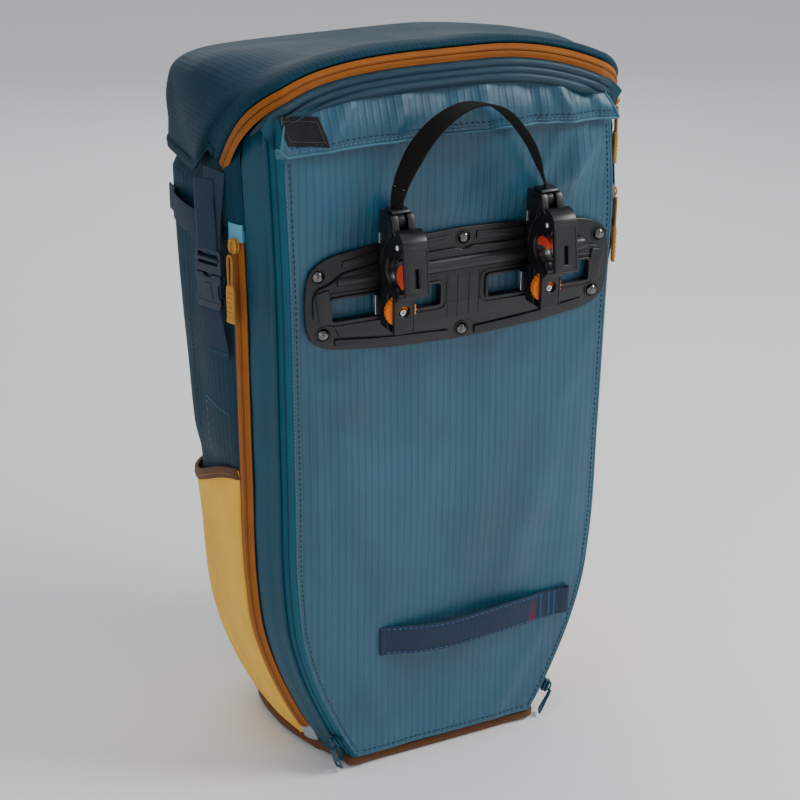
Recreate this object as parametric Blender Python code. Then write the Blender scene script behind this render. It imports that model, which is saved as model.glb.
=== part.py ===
"""A cycle pannier bag: a tall roll of tarpaulin with a zipped lid, a zip-off back cover and two rail hooks.

Metres, +Z up. The bag stands on its base at z = 0. The back panel, which carries the hooks, faces -Y.
Every shape is laid out with y = 0 on the outer face of the back cover; the empty `bag` then shifts the
whole bag so that its origin is in the middle of its depth.
"""

import math

import bmesh
import bpy
from mathutils import Matrix, Vector

# ---- driving dimensions -------------------------------------------------------------------------
WALL = 0.003             # fabric wall, with its lining
GAP = 0.0003             # between neighbouring pieces
FRAME_DEPTH = 0.0117     # depth of the border that the back cover is zipped into
SHELL_Y = 0.012          # back wall of the main compartment
SHELL_TOP = 0.500        # mouth of the main compartment
HOOD_FAR_Y = 0.177       # far face of the lid
HOOD_EDGE_Z = 0.474      # lower edge of the lid's skirt
ARCH_HALF = 0.153         # the lid's zip: half width, top, and where its round part starts
ARCH_TOP = 0.5605
ARCH_BASE = 0.490
HOOD_LIP = 0.0075         # from the zip's middle line to the lid's outer face
HOOD_WALL = 0.0022
POCKET_TOP = 0.256       # mouth of the side pockets, at the back edge
POCKET_GAP = 0.0055      # room inside an empty side pocket

COVER_T = 0.003          # the back cover, fabric over foam
COVER_HALF = 0.126       # half width of the cover above its taper
COVER_BOTTOM = 0.012
COVER_KINK = 0.125       # height where the taper starts
COVER_FOOT_HALF = 0.077  # half width at the bottom edge
COVER_FOLD = 0.342       # the lower half folds up about this line
COVER_TOP = 0.514
LEAN = (0.437, 0.900)    # the border runs back from the cover's edge: this much outward, this much in depth
ZIP_RUN = 0.0062         # middle of the zip beside the cover, measured along the border
ZIP_HALF = 0.0056        # half width of that zip
GUSSET_RUN = 0.0466      # middle of the orange zip, measured along the border
ZIP_SLOPE = 0.449        # how fast the cover's edge widens with height at its foot
STRAP_RUN = 0.0676       # middle of the side strap
POCKET_RUN = 0.059       # near edge of the side pocket
LID_LEAN = 0.88          # the lid's zip runs back this much for each unit down, below its shoulder
LID_SHOULDER = 0.545

LOOP_X = 0.024           # middle of the lamp loop on the cover
LOOP_Z = 0.112
LOOP_HALF = 0.082
LOOP_W = 0.025
LOOP_RISE = 0.008

PLATE_X = 0.0035         # middle of the hook plate
PLATE_Z = 0.397
PLATE_T = 0.0082
PLATE_HALF = 0.1205
PLATE_RISE = 0.042       # from the middle line to the top edge, in the centre
SLOT_Z = 0.393           # the two windows in the hook plate
SLOT_H = 0.016
SLOT_IN = 0.019
SLOT_OUT = 0.102
RIVET_X = 0.111
RIVET_DZ = 0.0215
HOOK_X = 0.0575          # hook centres, either side of HOOK_MID
HOOK_MID = 0.0025
HOOK_HALF = 0.0085       # half width of a hook's cheeks
ARM_HALF = 0.0095
PIN_R = 0.0015
WHEEL_R = 0.0115
RAIL_R = 0.0105          # the round of the hook's mouth
WEB_W = 0.020            # side straps and handle
BUCKLE_W = 0.024
BUCKLE_T = 0.0066
ARM_REACH = 0.0425       # how far the hook arm stands off the plate
SHIFT_Y = (ARM_REACH + PLATE_T + 2 * GAP - HOOD_FAR_Y) / 2

for leftover in list(bpy.data.objects):
    bpy.data.objects.remove(leftover, do_unlink=True)

COLOURS = {
    "tarpaulin": ((0.045, 0.145, 0.215), 0.45, 0.0),
    "dark_tarpaulin": ((0.012, 0.062, 0.095), 0.50, 0.0),
    "ochre_fabric": ((0.68, 0.40, 0.095), 0.85, 0.0),
    "orange_zip": ((0.33, 0.115, 0.012), 0.70, 0.0),
    "teal_zip": ((0.008, 0.115, 0.17), 0.70, 0.0),
    "slate_webbing": ((0.035, 0.06, 0.105), 0.80, 0.0),
    "slate_plastic": ((0.03, 0.05, 0.085), 0.45, 0.0),
    "black_plastic": ((0.014, 0.015, 0.017), 0.40, 0.0),
    "black_webbing": ((0.012, 0.012, 0.012), 0.85, 0.0),
    "orange_plastic": ((0.90, 0.22, 0.01), 0.45, 0.0),
    "red_plastic": ((0.50, 0.07, 0.03), 0.50, 0.0),
    "steel": ((0.62, 0.62, 0.62), 0.25, 1.0),
    "dark_chrome": ((0.25, 0.25, 0.26), 0.15, 1.0),
    "teal_metal": ((0.01, 0.13, 0.19), 0.35, 0.3),
    "gold_fabric": ((0.66, 0.36, 0.06), 0.70, 0.0),
    "grey_mesh": ((0.06, 0.07, 0.08), 0.90, 0.0),
    "board": ((0.10, 0.10, 0.10), 0.60, 0.0),
}
MATERIALS = {}


def material(name):
    """The named finish, made the first time it is asked for."""
    if name not in MATERIALS:
        colour, roughness, metallic = COLOURS[name]
        made = bpy.data.materials.new(name)
        made.use_nodes = True
        shader = made.node_tree.nodes["Principled BSDF"]
        shader.inputs["Base Color"].default_value = (*colour, 1.0)
        shader.inputs["Roughness"].default_value = roughness
        shader.inputs["Metallic"].default_value = metallic
        MATERIALS[name] = made
    return MATERIALS[name]


bag = bpy.data.objects.new("bag", None)
bag.location = (0.0, SHIFT_Y, 0.0)
bpy.context.collection.objects.link(bag)


# ---- helpers ------------------------------------------------------------------------------------
def add(name, bm, finish, origin=(0, 0, 0), skin_middle=None):
    """Turns a bmesh, drawn in the bag's frame, into an object whose origin is at `origin`.

    An open skin, which gets its thickness later, gives a point inside itself as `skin_middle`.
    """
    if skin_middle is None:
        bmesh.ops.recalc_face_normals(bm, faces=bm.faces)
    else:
        face_out(bm, skin_middle)
    mesh = bpy.data.meshes.new(name)
    bm.transform(Matrix.Translation(-Vector(origin)))
    bm.to_mesh(mesh)
    bm.free()
    mesh.materials.append(material(finish))
    ob = bpy.data.objects.new(name, mesh)
    ob.parent = bag
    ob.location = origin
    bpy.context.collection.objects.link(ob)
    return ob


def cutter(name, bm):
    ob = add(name, bm, "board")
    ob.hide_render = True
    ob.display_type = "WIRE"
    return ob


def cut(ob, tool, operation="DIFFERENCE"):
    change = ob.modifiers.new(tool.name, "BOOLEAN")
    change.operation = operation
    change.object = tool


def prism(points, axis, low, high):
    """A bmesh of the flat outline `points` pushed along `axis`: "x" takes (y, z) points, "y" takes (x, z)."""
    bm = bmesh.new()

    def place(a, b, depth):
        return {"x": (depth, a, b), "y": (a, depth, b), "z": (a, b, depth)}[axis]

    rings = [[bm.verts.new(place(a, b, depth)) for a, b in points] for depth in (low, high)]
    for ring in rings:
        bm.faces.new(ring)
    for i in range(len(points)):
        j = (i + 1) % len(points)
        bm.faces.new((rings[0][i], rings[0][j], rings[1][j], rings[1][i]))
    return bm


def box(x0, x1, y0, y1, z0, z1):
    return prism([(x0, z0), (x1, z0), (x1, z1), (x0, z1)], "y", y0, y1)


def disc(centre, radius, low, high, axis="y", sides=24):
    """A cylinder about `axis` through `centre`, the two coordinates across that axis."""
    turn = [math.tau * k / sides for k in range(sides)]
    return prism([(centre[0] + radius * math.cos(t), centre[1] + radius * math.sin(t)) for t in turn],
                 axis, low, high)


def arc(centre, radius, start, end, steps):
    """Points on a circle from `start` to `end` degrees."""
    turn = [math.radians(start + (end - start) * k / steps) for k in range(steps + 1)]
    return [(centre[0] + radius * math.cos(t), centre[1] + radius * math.sin(t)) for t in turn]


def lerp(table, z):
    """Reads a value at height z from (height, value) pairs, straight between them."""
    if z <= table[0][0]:
        return table[0][1]
    for (z0, v0), (z1, v1) in zip(table, table[1:]):
        if z <= z1:
            return v0 + (v1 - v0) * (z - z0) / (z1 - z0)
    return table[-1][1]


def loft(rings, closed=True):
    """A bmesh skin through rings of points; closed rings make a tube with capped ends."""
    bm = bmesh.new()
    rows = [[bm.verts.new(p) for p in ring] for ring in rings]
    count = len(rings[0])
    for low, high in zip(rows, rows[1:]):
        for i in range(count if closed else count - 1):
            j = (i + 1) % count
            bm.faces.new((low[i], low[j], high[j], high[i]))
    if closed:
        bm.faces.new(rows[0])
        bm.faces.new(rows[-1])
    return bm


def strip(spine, half, across, thick):
    """A flat band along `spine`: `across(i)` is its width direction, `thick(i)` its thickness vector."""
    rings = []
    for i, p in enumerate(spine):
        p, w, t = Vector(p), Vector(across(i)).normalized() * half, Vector(thick(i))
        rings.append([p - w, p + w, p + w + t, p - w + t])
    return loft(rings)


def face_out(bm, middle):
    """Turns an open skin's faces away from the point `middle`."""
    bmesh.ops.recalc_face_normals(bm, faces=bm.faces)
    lean = sum((f.calc_center_median() - Vector(middle)).dot(f.normal) * f.calc_area() for f in bm.faces)
    if lean < 0:
        bmesh.ops.reverse_faces(bm, faces=bm.faces)


def mirrored(side, points):
    return [(side * x, y, z) for x, y, z in points]


# ---- the bag's outline --------------------------------------------------------------------------
SIDE = [(0.0, 0.100), (0.006, 0.108), (0.022, 0.116), (0.068, 0.133), (0.13, 0.1465), (0.23, 0.153),
        (0.33, 0.157), (0.535, 0.1585)]
DEPTH = [(0.0, 0.140), (0.006, 0.148), (0.022, 0.155), (0.20, 0.158), (0.30, 0.163), (0.45, 0.174),
         (0.535, 0.172)]
COVER_EDGE = [(COVER_BOTTOM, COVER_FOOT_HALF), (0.05, 0.0965), (0.09, 0.1125), (COVER_KINK, 0.1225),
              (0.16, COVER_HALF - 0.001), (0.42, COVER_HALF + 0.001), (0.56, COVER_HALF + 0.006)]


def cover_half(z):
    return lerp(COVER_EDGE, z)


def border(z, run, lift=0.0):
    """A point of the right-hand border, `run` back from the cover's edge and `lift` outside its surface."""
    return Vector((cover_half(z) + LEAN[0] * run + LEAN[1] * lift, LEAN[1] * run - LEAN[0] * lift, z))


def side_ring(z, inset, far_inset):
    """Half a horizontal outline at height z, from the back wall along the border and round to the far wall."""
    far_corner = 0.032
    half, far = lerp(SIDE, z) - inset, lerp(DEPTH, z) - far_inset
    tuck = -inset if z > 0.46 else 0.0
    near = [border(z, run, tuck) for run in (0.0145, 0.034, 0.056)]
    points = [(near[0].x - 0.004, SHELL_Y)] + [(min(p.x, half - 0.002), p.y) for p in near]
    points += [(half, min(0.098, far - far_corner - 0.027)), (half, far - far_corner - 0.02)]
    points += arc((half - far_corner, far - far_corner), far_corner, 0, 90, 5)
    return [(x, y, z) for x, y in points]


# ---- the main compartment -----------------------------------------------------------------------
def main_compartment():
    """An open-topped bucket; its side walls step in behind the pockets and under the lid."""
    insets = [(0.0, 0.0025), (0.006, 0.0095), (0.022, 0.0095), (0.068, 0.0095), (0.13, 0.0095), (0.23, 0.0095),
              (0.262, 0.0055), (0.30, 0.0008), (0.38, 0.0008), (0.455, 0.0008), (0.47, 0.006), (SHELL_TOP, 0.006)]
    rings = []
    for z, inset in insets:
        right = side_ring(z, inset, 0.006 if z > 0.46 else 0.0008)
        rings.append(right + [(-x, y, z) for x, y, z in right[::-1]])
    bm = loft(rings, closed=False)
    bm.verts.ensure_lookup_table()
    count = len(rings[0])
    for row in range(len(rings) - 1):
        low = row * count
        bm.faces.new([bm.verts[low + i] for i in (count - 1, 0, count, 2 * count - 1)])
    for i in range(count // 2 - 1):
        bm.faces.new([bm.verts[k] for k in (i, i + 1, count - 2 - i, count - 1 - i)])
    ob = add("body_shell", bm, "dark_tarpaulin", skin_middle=(0, 0.08, 0.25))
    wall = ob.modifiers.new("wall", "SOLIDIFY")
    wall.thickness = WALL
    wall.offset = -1.0


def back_board():
    """The stiff board in the back of the main compartment."""
    board_t = 0.0025
    y0 = SHELL_Y + WALL + GAP
    outline = [(-0.085, 0.045), (0.085, 0.045), (0.118, 0.13), (0.125, 0.50), (-0.125, 0.50), (-0.118, 0.13)]
    add("back_board", prism(outline, "y", y0, y0 + board_t), "board")


def back_pad():
    """Foam pad under the cover, against the rider's back when the bag is carried as a rucksack."""
    outline = [(-0.070, 0.040), (0.070, 0.040), (0.108, 0.12), (0.112, 0.33), (-0.112, 0.33), (-0.108, 0.12)]
    add("back_pad", prism(outline, "y", COVER_T + GAP, SHELL_Y - GAP), "grey_mesh")


def arch(extra):
    """The lid's outline seen from the back, `extra` outside the zip's middle line, as (x, z) points.

    A superellipse: nearly straight down the sides, a soft shoulder, and a slightly crowned top.
    """
    half, rise, roundness = ARCH_HALF + extra, ARCH_TOP - ARCH_BASE + extra, 2 / 3.2
    right = [(half, 0.482)]
    for turn in (12, 24, 36, 48, 60, 72, 82, 90):
        t = math.radians(turn)
        right.append((half * max(0.0, math.cos(t)) ** roundness, ARCH_BASE + rise * math.sin(t) ** roundness))
    right[-1] = (0.0, right[-1][1])
    return right + [(-x, z) for x, z in right[-2::-1]]


def lid_zip_line():
    """(middle, width direction towards the lid, outward normal) all round the lid's zip."""
    middles = [Vector((x, 0.0014 + LID_LEAN * max(0.0, LID_SHOULDER - z), z)) for x, z in arch(0.0)]
    out = []
    for i, p in enumerate(middles):
        run = (middles[min(i + 1, len(middles) - 1)] - middles[max(i - 1, 0)]).normalized()
        turned = min(1.0, max(0.0, (0.552 - p.z) / 0.037))
        normal = Vector((math.copysign(turned, p.x), -1.0 + 0.69 * turned, 0.0)).normalized()
        normal = (normal - run * run.dot(normal)).normalized()
        out.append((p, run.cross(normal), normal))
    return out


def back_frame():
    """The border that the back cover zips into, with the collar and its shoulders above it."""
    edge = 0.0010
    right = [(cover_half(z) - edge, z) for z in (0.014, 0.05, 0.09, COVER_KINK, 0.16, 0.42, 0.525)]
    right.append((cover_half(0.52) - 0.006, 0.536))
    upper = [(x, z) for x, z in arch(-0.0075) if z > 0.540]
    frame = add("back_frame", prism(right + upper + [(-x, z) for x, z in right[::-1]], "y", COVER_T + 0.001,
                                    FRAME_DEPTH), "tarpaulin")
    inner = [(cover_half(z) - 0.0066, z) for z in (-0.01, 0.05, 0.09, COVER_KINK, 0.16, 0.42, 0.518)]
    opening = cutter("cover_opening", prism(inner + [(-x, z) for x, z in inner[::-1]], "y", -0.01, 0.03))
    cut(frame, opening)
    line = [p for p in lid_zip_line() if p[0].z < 0.548]
    for side, tag in ((1, "right"), (-1, "left")):
        rings = []
        for middle, width, normal in line:
            if middle.x * side < 0:
                continue
            level = max(0.490, middle.z - 0.010)
            near = Vector((side * (cover_half(level) - 0.0012 - 0.010 * max(0.0, level - 0.525) / 0.015), 0.0060, level))
            far = middle - width * 0.0058
            deep = normal * -0.0013
            rings.append([near, far, far + deep, near + Vector((-side * 0.0016, 0.0020, 0))])
        shoulder = loft(rings)
        bmesh.ops.recalc_face_normals(shoulder, faces=shoulder.faces)
        cut(frame, cutter(f"shoulder_{tag}", shoulder), "UNION")


def storm_flap():
    """The flap over the top edge of the cover, sewn along its own top edge below the lid's zip."""
    rows = [(0.503, 0.1310, -0.0055), (0.520, 0.1320, -0.0055), (0.532, 0.1290, -0.0045),
            (0.541, 0.1180, -0.0005), (0.547, 0.1050, COVER_T - 0.0015)]
    depth = 0.0018
    rings = [[(-half, y, z), (half, y, z), (half, y + depth, z), (-half, y + depth, z)] for z, half, y in rows]
    add("storm_flap", loft(rings), "tarpaulin")


def back_cover():
    """The cover in two stretches: the upper one carries the hooks, the lower one folds up."""
    upper = [(cover_half(z), z) for z in (COVER_FOLD + GAP, 0.42, COVER_TOP)]
    upper += [(-x, z) for x, z in upper[::-1]]
    cover_upper = add("cover_upper", prism(upper, "y", 0.0, COVER_T), "tarpaulin")
    lower_z = (COVER_BOTTOM, 0.05, 0.09, COVER_KINK, 0.16, COVER_FOLD - GAP)
    lower = [(cover_half(z), z) for z in lower_z]
    lower += [(-x, z) for x, z in lower[::-1]]
    add("cover_lower", prism(lower, "y", 0.0, COVER_T), "tarpaulin", (0, 0, COVER_FOLD))
    return cover_upper


def border_zip(side, name, run, half, zs, finish):
    """A zip's tape and teeth lying along the border."""
    spine = [border(z, run, GAP) for z in zs]
    across, thick = (side * LEAN[0], LEAN[1], 0), Vector((side * LEAN[1], -LEAN[0], 0)) * 0.0020
    add(name, strip([(side * p.x, p.y, p.z) for p in spine], half, lambda i: across, lambda i: thick), finish)


def side_pocket(side, name):
    """An open-topped pocket over the lower side, wrapping the far corner."""
    levels = [0.014, 0.022, 0.068, 0.13, 0.19, POCKET_TOP]
    rings = []
    for z in levels:
        near = border(z, POCKET_RUN, 0.0010)
        ring = [tuple(near)] + side_ring(z, 0.0, 0.0)[4:9]
        drop = (POCKET_TOP - 0.222) * max(0.0, (z - 0.19) / (POCKET_TOP - 0.19))
        far = max(p[1] for p in ring)
        shaped = []
        for x, y, height in ring:
            share = min(1.0, max(0.0, (y - near.y) / (far - near.y)))
            shaped.append((side * x, y, height - drop * share))
        last = shaped[-1]
        far_tuck = (last[0], last[1] - POCKET_GAP, last[2])
        rings.append(shaped + [far_tuck])
    ob = add(name, loft(rings, closed=False), "ochre_fabric", skin_middle=(0, 0.08, 0.13))
    wall = ob.modifiers.new("wall", "SOLIDIFY")
    wall.thickness = 0.0018
    wall.offset = 0.0


def side_loop(side, name):
    """A bridge of webbing across the side, open behind."""
    x0 = side * (lerp(SIDE, 0.437) + GAP)
    rise = side * 0.0065
    spine = [(x0, 0.078, 0.438), (x0 + rise * 0.75, 0.088, 0.438), (x0 + rise, 0.108, 0.438),
             (x0 + rise * 0.75, 0.128, 0.438), (x0, 0.138, 0.438)]
    add(name, strip(spine, WEB_W / 2, lambda i: (0, 0, 1), lambda i: (side * 0.0016, 0, 0)), "slate_webbing")


# ---- the lid ------------------------------------------------------------------------------------
def hood():
    """The lid: a cap whose near edge follows the zip's arch and whose skirt hangs over the walls."""
    near = arch(HOOD_LIP)
    half_width = ARCH_HALF + HOOD_LIP
    middle = len(near) // 2
    rings = []
    for share in (0.0, 0.12, 0.45, 0.75):
        ring = []
        for i, (x, z) in enumerate(near):
            from_top = abs(i - middle) / middle
            y_near = 0.0005 + LID_LEAN * max(0.0, LID_SHOULDER - z) + 0.0108 * min(1.0, max(0.0, (0.552 - z) / 0.037))
            far = HOOD_FAR_Y - 0.032
            y = y_near + (far - y_near) * share
            height = HOOD_EDGE_Z if i in (0, len(near) - 1) else z - 0.024 * (y / far) * (z - 0.47) / 0.095
            ring.append((x, y, height))
        rings.append(ring)
    flat = rings[-1]
    for turn in (0, 30, 60, 90):
        t = math.radians(turn)
        pull, y = 0.032 * (1 - math.cos(t)), HOOD_FAR_Y - 0.032 + 0.032 * math.sin(t)
        ring = []
        for x, _, z in flat:
            drop = (0.006 * turn / 90 + 0.006) * (z - HOOD_EDGE_Z) / 0.075
            ring.append((x * (1 - pull / half_width), y, z - drop))
        rings.append(ring)
    bm = loft(rings, closed=False)
    bm.verts.ensure_lookup_table()
    count, base = len(near), (len(rings) - 1) * len(near)
    for i in range(count // 2):
        corners = list(dict.fromkeys([base + i, base + i + 1, base + count - 2 - i, base + count - 1 - i]))
        bm.faces.new([bm.verts[k] for k in corners])
    ob = add("hood", bm, "dark_tarpaulin", (0, HOOD_FAR_Y, HOOD_EDGE_Z), skin_middle=(0, 0.09, 0.47))
    wall = ob.modifiers.new("wall", "SOLIDIFY")
    wall.thickness = HOOD_WALL
    wall.offset = -1.0


def lid_zip():
    """The arched zip between the collar and the lid."""
    rings = []
    for middle, width, normal in lid_zip_line():
        inner, outer, deep = middle - width * 0.005, middle + width * 0.0042, normal * -0.0022
        rings.append([inner, outer, outer + deep, inner + deep])
    add("lid_zip", loft(rings), "orange_zip")


# ---- sliders and pulls --------------------------------------------------------------------------
def slider(name, at, along, finish, run=(0, 0, 1), size=(0.0085, 0.0042, 0.011)):
    """A zip slider: a waisted block with a bridge for its pull, on a zip that runs along `run` facing `along`."""
    w, t, h = size
    half = w / 2
    outline = [(-half * 0.6, 0), (half * 0.6, 0), (half, h * 0.35), (half * 0.8, h), (-half * 0.8, h),
               (-half, h * 0.35)]
    bm = prism(outline, "y", -t, 0.0)
    run = Vector(run).normalized()
    deep = -(Vector(along) - run * run.dot(Vector(along))).normalized()
    turn = Matrix((deep.cross(run), deep, run)).transposed().to_4x4()
    bm.transform(Matrix.Translation(at) @ turn)
    return add(name, bm, finish, at)


def pull(name, at, along, length, width, thick, finish):
    """A pull hanging from `at`, its pivot, standing off the bag along `along`."""
    half = width / 2
    outline = [(-half * 0.55, 0.0), (half * 0.55, 0.0), (half, -length * 0.45), (half, -length * 0.9),
               (half * 0.7, -length), (-half * 0.7, -length), (-half, -length * 0.9), (-half, -length * 0.45)]
    bm = prism(outline, "y", -thick, 0.0)
    turn = Vector((0, -1, 0)).rotation_difference(Vector(along)).to_matrix().to_4x4()
    bm.transform(Matrix.Translation(at) @ turn)
    return add(name, bm, finish, at)


def zip_hardware():
    height = 0.500
    normal = Vector((0.95, -0.31, 0)).normalized()
    base = Vector((ARCH_HALF - 0.0008, 0.0014 + LID_LEAN * (LID_SHOULDER - height), height)) + normal * 0.0020
    slider("lid_slider", base, normal, "gold_fabric", run=(-0.02, -LID_LEAN, 1))
    pull("lid_pull", base + normal * 0.0047 + Vector((0, 0, -0.0025)), normal, 0.042, 0.010, 0.0018, "gold_fabric")
    for side, tag in ((-1, "left"), (1, "right")):
        normal = Vector((side * LEAN[1], -LEAN[0], 0)).normalized()
        base = border(0.428, GUSSET_RUN, 0.0028)
        base.x *= side
        slider(f"gusset_slider_{tag}", base, normal, "gold_fabric")
        pull(f"gusset_pull_{tag}", base + normal * 0.0047 + Vector((0, 0, -0.001)), normal, 0.050, 0.009, 0.0018,
             "gold_fabric")
        normal = Vector((side * LEAN[1], -LEAN[0], -LEAN[1] * ZIP_SLOPE)).normalized()
        base = border(0.026, ZIP_RUN)
        base.x *= side
        base += normal * 0.0047
        slider(f"cover_slider_{tag}", base, normal, "teal_metal", run=(side * ZIP_SLOPE, 0, 1))
        pull(f"cover_pull_{tag}", base + normal * 0.0058 + Vector((0, 0, 0.0015)), normal, 0.0235, 0.0085, 0.0016,
             "teal_metal")


# ---- side straps --------------------------------------------------------------------------------
def on_border(side, x_face, mid_y):
    """Turns pieces drawn against a flat side at (x_face, mid_y) onto the leaning border."""
    foot = border(0.40, STRAP_RUN)
    turn = Matrix.Rotation(-side * math.atan2(LEAN[0], LEAN[1]), 4, "Z")
    return (Matrix.Translation((side * foot.x, foot.y, 0)) @ turn @ Matrix.Translation((-side * x_face, -mid_y, 0)))


def side_strap(side, tag):
    """Upper webbing, side-release buckle and lower webbing, down the bag's back corner."""
    out = Vector((side, 0, 0))
    x_face = lerp(SIDE, 0.40)
    mid_y = 0.040
    place = on_border(side, x_face, mid_y)

    def turned(bm):
        bm.transform(place)
        return bm

    inner = x_face + 0.0042
    head_z, joint_z, foot_z = 0.4275, 0.4095, 0.384

    tops = [(x_face + 0.0030, 0.0300, 0.4715), (x_face + 0.0050, 0.034, 0.455), (x_face + 0.0065, mid_y, 0.440),
            (x_face + 0.0068, mid_y, head_z + GAP)]
    turns = (28, 18, 6, 0)
    across = [Vector((side * -math.sin(math.radians(t)), math.cos(math.radians(t)), 0)) for t in turns]
    add(f"strap_upper_{tag}",
        turned(strip(mirrored(side, tops), WEB_W / 2, lambda i: across[i], lambda i: out * 0.0016)), "slate_webbing")

    half = BUCKLE_W / 2
    female = box(side * inner, side * (inner + BUCKLE_T), mid_y - half, mid_y + half, foot_z, joint_z)
    female_ob = add(f"buckle_female_{tag}", turned(female), "slate_plastic")
    pocket_in = inner + 0.0013
    pocket_out = inner + BUCKLE_T - 0.0013
    pocket = box(side * pocket_in, side * pocket_out, mid_y - 0.0095, mid_y + 0.0095, foot_z + 0.005,
                 joint_z + 0.01)
    cut(female_ob, cutter(f"buckle_pocket_{tag}", turned(pocket)))
    slot = box(side * (inner + 0.002), side * (inner + 0.0045), mid_y - 0.0105, mid_y + 0.0105,
               foot_z - 0.01, foot_z + 0.003)
    cut(female_ob, cutter(f"buckle_slot_{tag}", turned(slot)))

    head = [(mid_y - half, joint_z + GAP), (mid_y - 0.0085, joint_z + GAP), (mid_y - 0.0085, foot_z + 0.0065),
            (mid_y - 0.0035, foot_z + 0.010), (mid_y - 0.0035, joint_z - 0.004), (mid_y + 0.0035, joint_z - 0.004),
            (mid_y + 0.0035, foot_z + 0.010), (mid_y + 0.0085, foot_z + 0.0065), (mid_y + 0.0085, joint_z + GAP),
            (mid_y + half, joint_z + GAP), (mid_y + half, head_z), (mid_y - half, head_z)]
    low, high = sorted((side * (pocket_in + 0.0004), side * (pocket_out - 0.0004)))
    add(f"buckle_male_{tag}", turned(prism(head, "x", low, high)), "slate_plastic",
        place @ Vector((side * inner, mid_y, joint_z)))

    tail_x = inner + 0.0024
    tail = [(tail_x, mid_y, foot_z + 0.0026), (tail_x, mid_y, foot_z - 0.004),
            (x_face + 0.0012, mid_y - 0.004, 0.352), (x_face + 0.0008, mid_y - 0.0045, 0.344)]
    add(f"strap_lower_{tag}", turned(strip(mirrored(side, tail), WEB_W / 2, lambda i: (0, 1, 0),
                                           lambda i: out * 0.0014)), "slate_webbing")


# ---- the hook plate -----------------------------------------------------------------------------
def plate_outline():
    right = [(0.0, PLATE_RISE), (0.060, PLATE_RISE - 0.0025), (0.102, PLATE_RISE - 0.008),
             (0.1145, PLATE_RISE - 0.014), (PLATE_HALF, 0.012), (PLATE_HALF, -0.015), (0.114, -0.0265),
             (0.1035, -0.034), (0.060, -0.0395), (0.0, -0.042)]
    left = [(-x, z) for x, z in right[-2:0:-1]]
    return [(PLATE_X + x, PLATE_Z + z) for x, z in right + left]


def plate_front():
    return -PLATE_T - GAP


RIVETS = [("left_top", -RIVET_X, RIVET_DZ), ("left_bottom", -RIVET_X + 0.0035, -RIVET_DZ),
          ("middle_top", 0.0, 0.0345), ("middle_bottom", 0.0, -0.0345),
          ("right_top", RIVET_X, RIVET_DZ), ("right_bottom", RIVET_X - 0.0035, -RIVET_DZ)]


def hook_plate(cover_upper):
    """The moulded plate riveted through the cover, with a window for each hook to slide in."""
    front, back = plate_front(), -GAP
    plate = add("hook_plate", prism(plate_outline(), "y", front, back), "black_plastic")
    backing = [(PLATE_X + x, PLATE_Z + z) for x, z in ((-0.116, -0.028), (0.116, -0.028), (0.116, 0.026),
                                                       (0.05, 0.0385), (-0.05, 0.0385), (-0.116, 0.026))]
    back_plate = add("plate_backing", prism(backing, "y", COVER_T + GAP, COVER_T + 0.002), "board")
    for side, tag in ((-1, "left"), (1, "right")):
        x_in, x_out = PLATE_X + side * SLOT_IN, PLATE_X + side * SLOT_OUT
        low, high = min(x_in, x_out), max(x_in, x_out)
        window = box(low, high, front - 0.01, 0.0, SLOT_Z - SLOT_H / 2, SLOT_Z + SLOT_H / 2)
        cut(plate, cutter(f"window_{tag}", window))
        recess = box(low - 0.004, high + 0.004, front + 0.0032, 0.001, SLOT_Z - 0.0135, SLOT_Z + 0.0135)
        cut(plate, cutter(f"recess_{tag}", recess))
    head_r, shank_r = 0.0048, 0.0018
    for tag, x, dz in RIVETS:
        where = (PLATE_X + x, PLATE_Z + dz)
        hole = cutter(f"rivet_hole_{tag}", disc(where, shank_r + GAP, front - 0.01, 0.02, sides=8))
        for drilled in (plate, cover_upper, back_plate):
            cut(drilled, hole)
        profile = [(shank_r, COVER_T + 0.0026), (shank_r, front - GAP), (head_r, front - GAP),
                   (head_r * 0.92, front - 0.0012), (head_r * 0.62, front - 0.0024),
                   (head_r * 0.25, front - 0.0029)]
        rings = [[(where[0] + r * math.cos(math.tau * k / 12), y, where[1] + r * math.sin(math.tau * k / 12))
                  for k in range(12)] for r, y in profile]
        add(f"rivet_{tag}", loft(rings), "dark_chrome")


# ---- the hooks ----------------------------------------------------------------------------------
MOUTH = (0.0215, 0.0315)     # middle of the hook's mouth: (out from the plate, above the window's middle)
PIN = (0.0270, 0.0505)       # the steel pin that the arm turns on
LEVER_PIN = (0.0045, 0.0625)


def hook_place(outline):
    """(outward, up) hook coordinates to (y, z) in the bag's frame."""
    base = plate_front() - GAP
    return [(base - u, SLOT_Z + h) for u, h in outline]


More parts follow.
